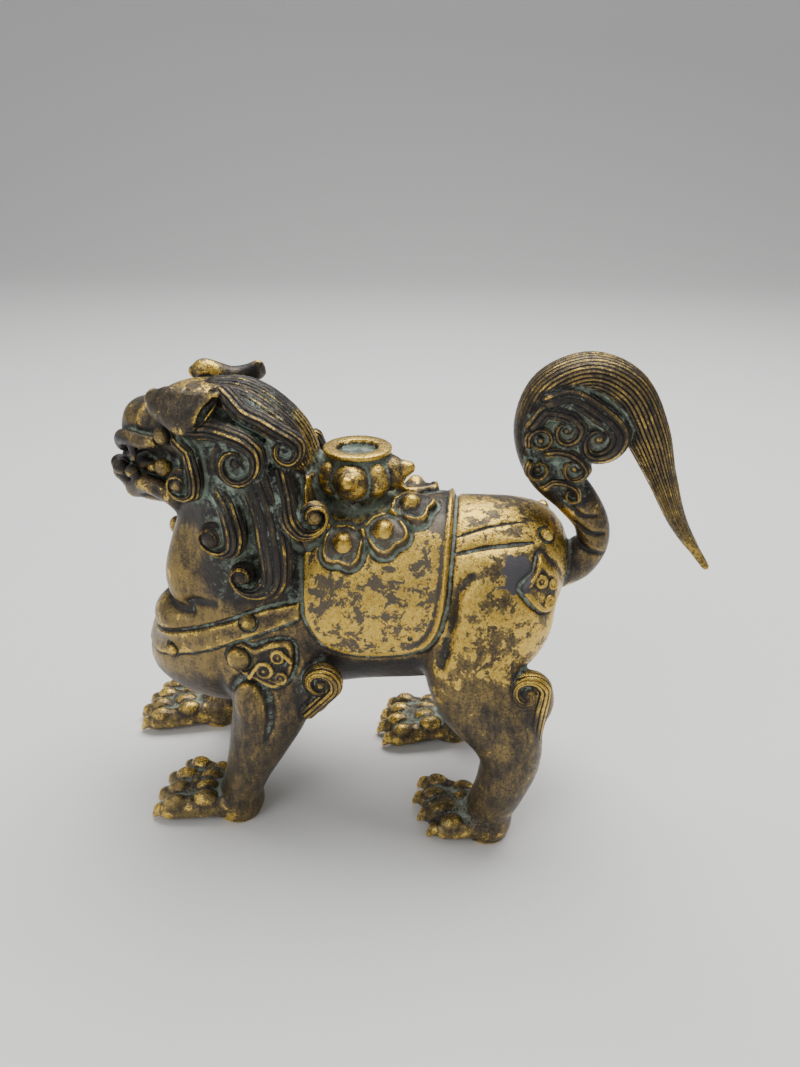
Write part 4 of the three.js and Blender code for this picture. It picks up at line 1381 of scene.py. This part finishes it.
def plus(*terms):
    """The sum of the terms; a pair is a term and its weight."""
    total, *rest = [times(*term) if isinstance(term, tuple) else term for term in terms]
    for term in rest:
        total = calc("ADD", total, term)
    return total


def less(share):
    return calc("SUBTRACT", 1, share)


def step(value, low, high, top=1.0):
    inputs = {"Value": value, "From Min": low, "From Max": high, "To Min": 0.0, "To Max": top}
    return add("ShaderNodeMapRange", inputs, interpolation_type="SMOOTHSTEP")


def blend(share, a, b):
    """Two colours mixed by a share."""
    a, b = ((*colour, 1) if isinstance(colour, tuple) else colour for colour in (a, b))
    return add("ShaderNodeMix", {0: share, 6: a, 7: b}, out=2, data_type="RGBA")


def between(share, a, b):
    """Two numbers mixed by a share."""
    return add("ShaderNodeMix", {0: share, 2: a, 3: b})


where = add("ShaderNodeTexCoord", out=3)
upright = add("ShaderNodeVectorMath", {0: where, 1: (1, 1, 0.3)}, operation="MULTIPLY")


def cloud(size, detail, roughness, warp=0.0, place=where):
    """Noise about zero whose blots are size millimetres wide."""
    inputs = {"Vector": place, "Scale": 1 / (size * MM), "Detail": detail, "Roughness": roughness,
              "Distortion": warp}
    return calc("SUBTRACT", add("ShaderNodeTexNoise", inputs), 0.5)


def channels(name):
    """The four numbers of a colour attribute."""
    attribute = add("ShaderNodeAttribute", attribute_name=name).node
    split = add("ShaderNodeSeparateColor", {0: attribute.outputs["Color"]}).node
    return (*split.outputs, attribute.outputs["Alpha"])


rub, gilt, green, dust = channels("coats")
fine, middle, broad, combed = channels("relief")
comb, bare, cloth, _ = channels("combing")

blots = cloud(6.5, 7, 0.64, 0.5)
flakes = cloud(2.4, 6, 0.7, 0.7)
specks = cloud(0.8, 3, 0.6)
drifts = cloud(26, 4, 0.55)
streaks = cloud(2.2, 5, 0.62, 0.4, upright)

# The strands: their grooves, with a fainter one in the middle of each, painted darker as shade; a tone of
# their own; and rubbed crests, made brighter partly as a painted highlight.
strand = calc("ABSOLUTE", calc("SINE", times(comb, math.pi)))
hairline = calc("ABSOLUTE", calc("SINE", times(comb, 2 * math.pi)))
parting = times(plus(step(strand, 0.5, 0.05), (step(hairline, 0.45, 0.05), 0.4)), combed)
own_tone = calc("SINE", plus((calc("FLOOR", comb), 2.4), (drifts, 16)))
crest_wear_and_highlight = times(times(step(strand, 0.6, 1), combed), plus(0.5, (own_tone, 0.5)))

ridge = plus((fine, -1), (middle, -0.35))
hollow = plus((fine, 0.5), (middle, 0.7), (broad, 0.45), (parting, 0.1))
worn = plus(rub, (ridge, 0.8), (blots, 0.8), (streaks, 0.8), (specks, 0.7), (parting, -0.2), (crest_wear_and_highlight, 0.3))
worn = step(worn, 0.1, 0.95)
gold = plus(gilt, (ridge, 0.5), (blots, 1.35), (flakes, 0.65), (specks, 0.3), (parting, -0.4), (crest_wear_and_highlight, 0.3))
gold = step(gold, 0.47, 0.53)
verdigris = plus(green, hollow, (blots, 1.3), (flakes, 1.2), (specks, 0.9), (drifts, 0.5))
verdigris = times(step(verdigris, 0.36, 1.0, 0.85), step(plus(blots, flakes), -0.16, 0.12))
chalk = plus(dust, hollow, (drifts, 0.6), (flakes, 0.9), (specks, 0.9))
chalk = step(chalk, 0.45, 1.2, 0.75)
# Painted shade: the colour is darkened in hollows, crevices and strand grooves, with dark specks over it; it
# also dulls the metal a little.
hollow_shade_and_specks = plus((fine, 1.1), (middle, 0.9), (broad, 0.5), (parting, 0.4), (specks, 0.4), (flakes, 0.4))
hollow_shade_and_specks = step(hollow_shade_and_specks, 0.1, 0.7, 0.9)

DARK = (0.02, 0.0165, 0.0145)
UMBER = (0.08, 0.06, 0.036)
BROWN_GOLD = (0.27, 0.19, 0.07)
GOLD = (0.55, 0.35, 0.06)
PALE_GOLD = (0.8, 0.56, 0.14)
GREY_BROWN = (0.14, 0.115, 0.08)
VERDIGRIS = (0.2, 0.26, 0.2)
PALE_GREEN = (0.45, 0.54, 0.44)
DUST = (0.33, 0.35, 0.27)
PATCH_GREY = (0.075, 0.07, 0.075)

brown = blend(step(worn, 0, 0.45), DARK, UMBER)
brown = blend(step(worn, 0.35, 1), brown, BROWN_GOLD)
brown = blend(times(cloth, 0.7), brown, GREY_BROWN)
colour = blend(gold, brown, blend(step(plus(flakes, specks), -0.2, 0.35), GOLD, PALE_GOLD))
# Painted shade: hollows and strand grooves are darkened towards DARK.
colour = blend(hollow_shade_and_specks, colour, DARK)
patch = step(plus(bare, flakes, specks), 0.42, 0.6)
colour = blend(patch, colour, PATCH_GREY)
colour = blend(chalk, colour, DUST)
colour = blend(verdigris, colour, blend(step(flakes, -0.1, 0.3), VERDIGRIS, PALE_GREEN))

crust = calc("MAXIMUM", calc("MAXIMUM", verdigris, chalk), times(patch, 0.7))
metal = between(gold, between(worn, 0.4, 0.9), 0.95)
metal = times(times(metal, less(crust)), less(times(hollow_shade_and_specks, 0.5)))
gloss = between(gold, between(worn, 0.36, 0.28), 0.27)
gloss = plus(gloss, (specks, 0.35), (flakes, 0.25), (hollow_shade_and_specks, 0.12))
gloss = between(crust, gloss, 0.85)

height = plus((gold, 0.08), (verdigris, 0.25), (specks, 0.3), (flakes, 0.45), (blots, 0.5), (parting, -0.5),
              (cloud(0.4, 2, 0.5), 0.12))
bumps = add("ShaderNodeBump", {"Strength": 1.0, "Distance": 0.5 * MM, "Height": height})

shader = tree.nodes["Principled BSDF"]
for key, value in {"Base Color": colour, "Metallic": metal, "Roughness": gloss, "Normal": bumps}.items():
    tree.links.new(value, shader.inputs[key])
lion.data.materials.clear()
lion.data.materials.append(bronze)


# Stage

BEND_STEPS = 24


def backdrop():
    """A floor that runs up into a wall behind the lion in one long curve."""
    reach, bend = 1.4, 1.1
    rows = [(-4.0, 0.0)]
    for i in range(BEND_STEPS + 1):
        angle = math.radians(90 * i / BEND_STEPS)
        rows.append((reach + bend * math.sin(angle), bend * (1 - math.cos(angle))))
    rows.append((reach + bend, 4.5))
    points = np.array([(x, y, z) for x in (-7, 7) for y, z in rows])
    n = len(rows)
    faces = np.array([(i, i + n, i + n + 1, i + 1) for i in range(n - 1)])
    return mesh_from("floor", points, faces)


floor = put("floor", backdrop())
pale = bpy.data.materials.new("pale_floor")
pale.use_nodes = True
pale.node_tree.nodes["Principled BSDF"].inputs["Base Color"].default_value = (0.8, 0.79, 0.77, 1)
pale.node_tree.nodes["Principled BSDF"].inputs["Roughness"].default_value = 0.8
floor.data.materials.append(pale)


def aim(thing, direction):
    thing.rotation_euler = Vector(direction).to_track_quat("-Z", "Y").to_euler()


def area_light(name, place, target, size, power):
    data = bpy.data.lights.new(name, "AREA")
    data.shape = "RECTANGLE"
    data.size, data.size_y = size
    data.energy = power
    light = put(name, data)
    light.location = place
    aim(light, np.subtract(target, place))


area_light("ceiling", (0.1, 0.35, 1.15), (0, 0, 0.05), (1.1, 0.8), 22)
area_light("front", (-0.9, -1.1, 0.9), (0, 0, 0.08), (0.9, 0.9), 7)
world = bpy.data.worlds.new("soft")
world.use_nodes = True
world.node_tree.nodes["Background"].inputs["Color"].default_value = (0.8, 0.82, 0.85, 1)
world.node_tree.nodes["Background"].inputs["Strength"].default_value = 0.5
bpy.context.scene.world = world

# The photograph's camera: pitch and turn, place in millimetres, and lens for a frame of 800 by 1067.
PITCH = math.radians(25.5)
TURN = math.radians(6)
CAMERA_PLACE = (30.33, -260.02, 235.63)
SENSOR = 36
camera = put("camera", bpy.data.cameras.new("camera"))
camera.data.sensor_width = SENSOR
camera.data.lens = SENSOR * 801 / 1067
camera.location = (np.array(CAMERA_PLACE) - (*BOX_MIDDLE, 0)) * MM
aim(camera, (-math.sin(TURN) * math.cos(PITCH), math.cos(TURN) * math.cos(PITCH), -math.sin(PITCH)))
camera.data.clip_start, camera.data.clip_end = 0.01, 50
bpy.context.scene.camera = camera
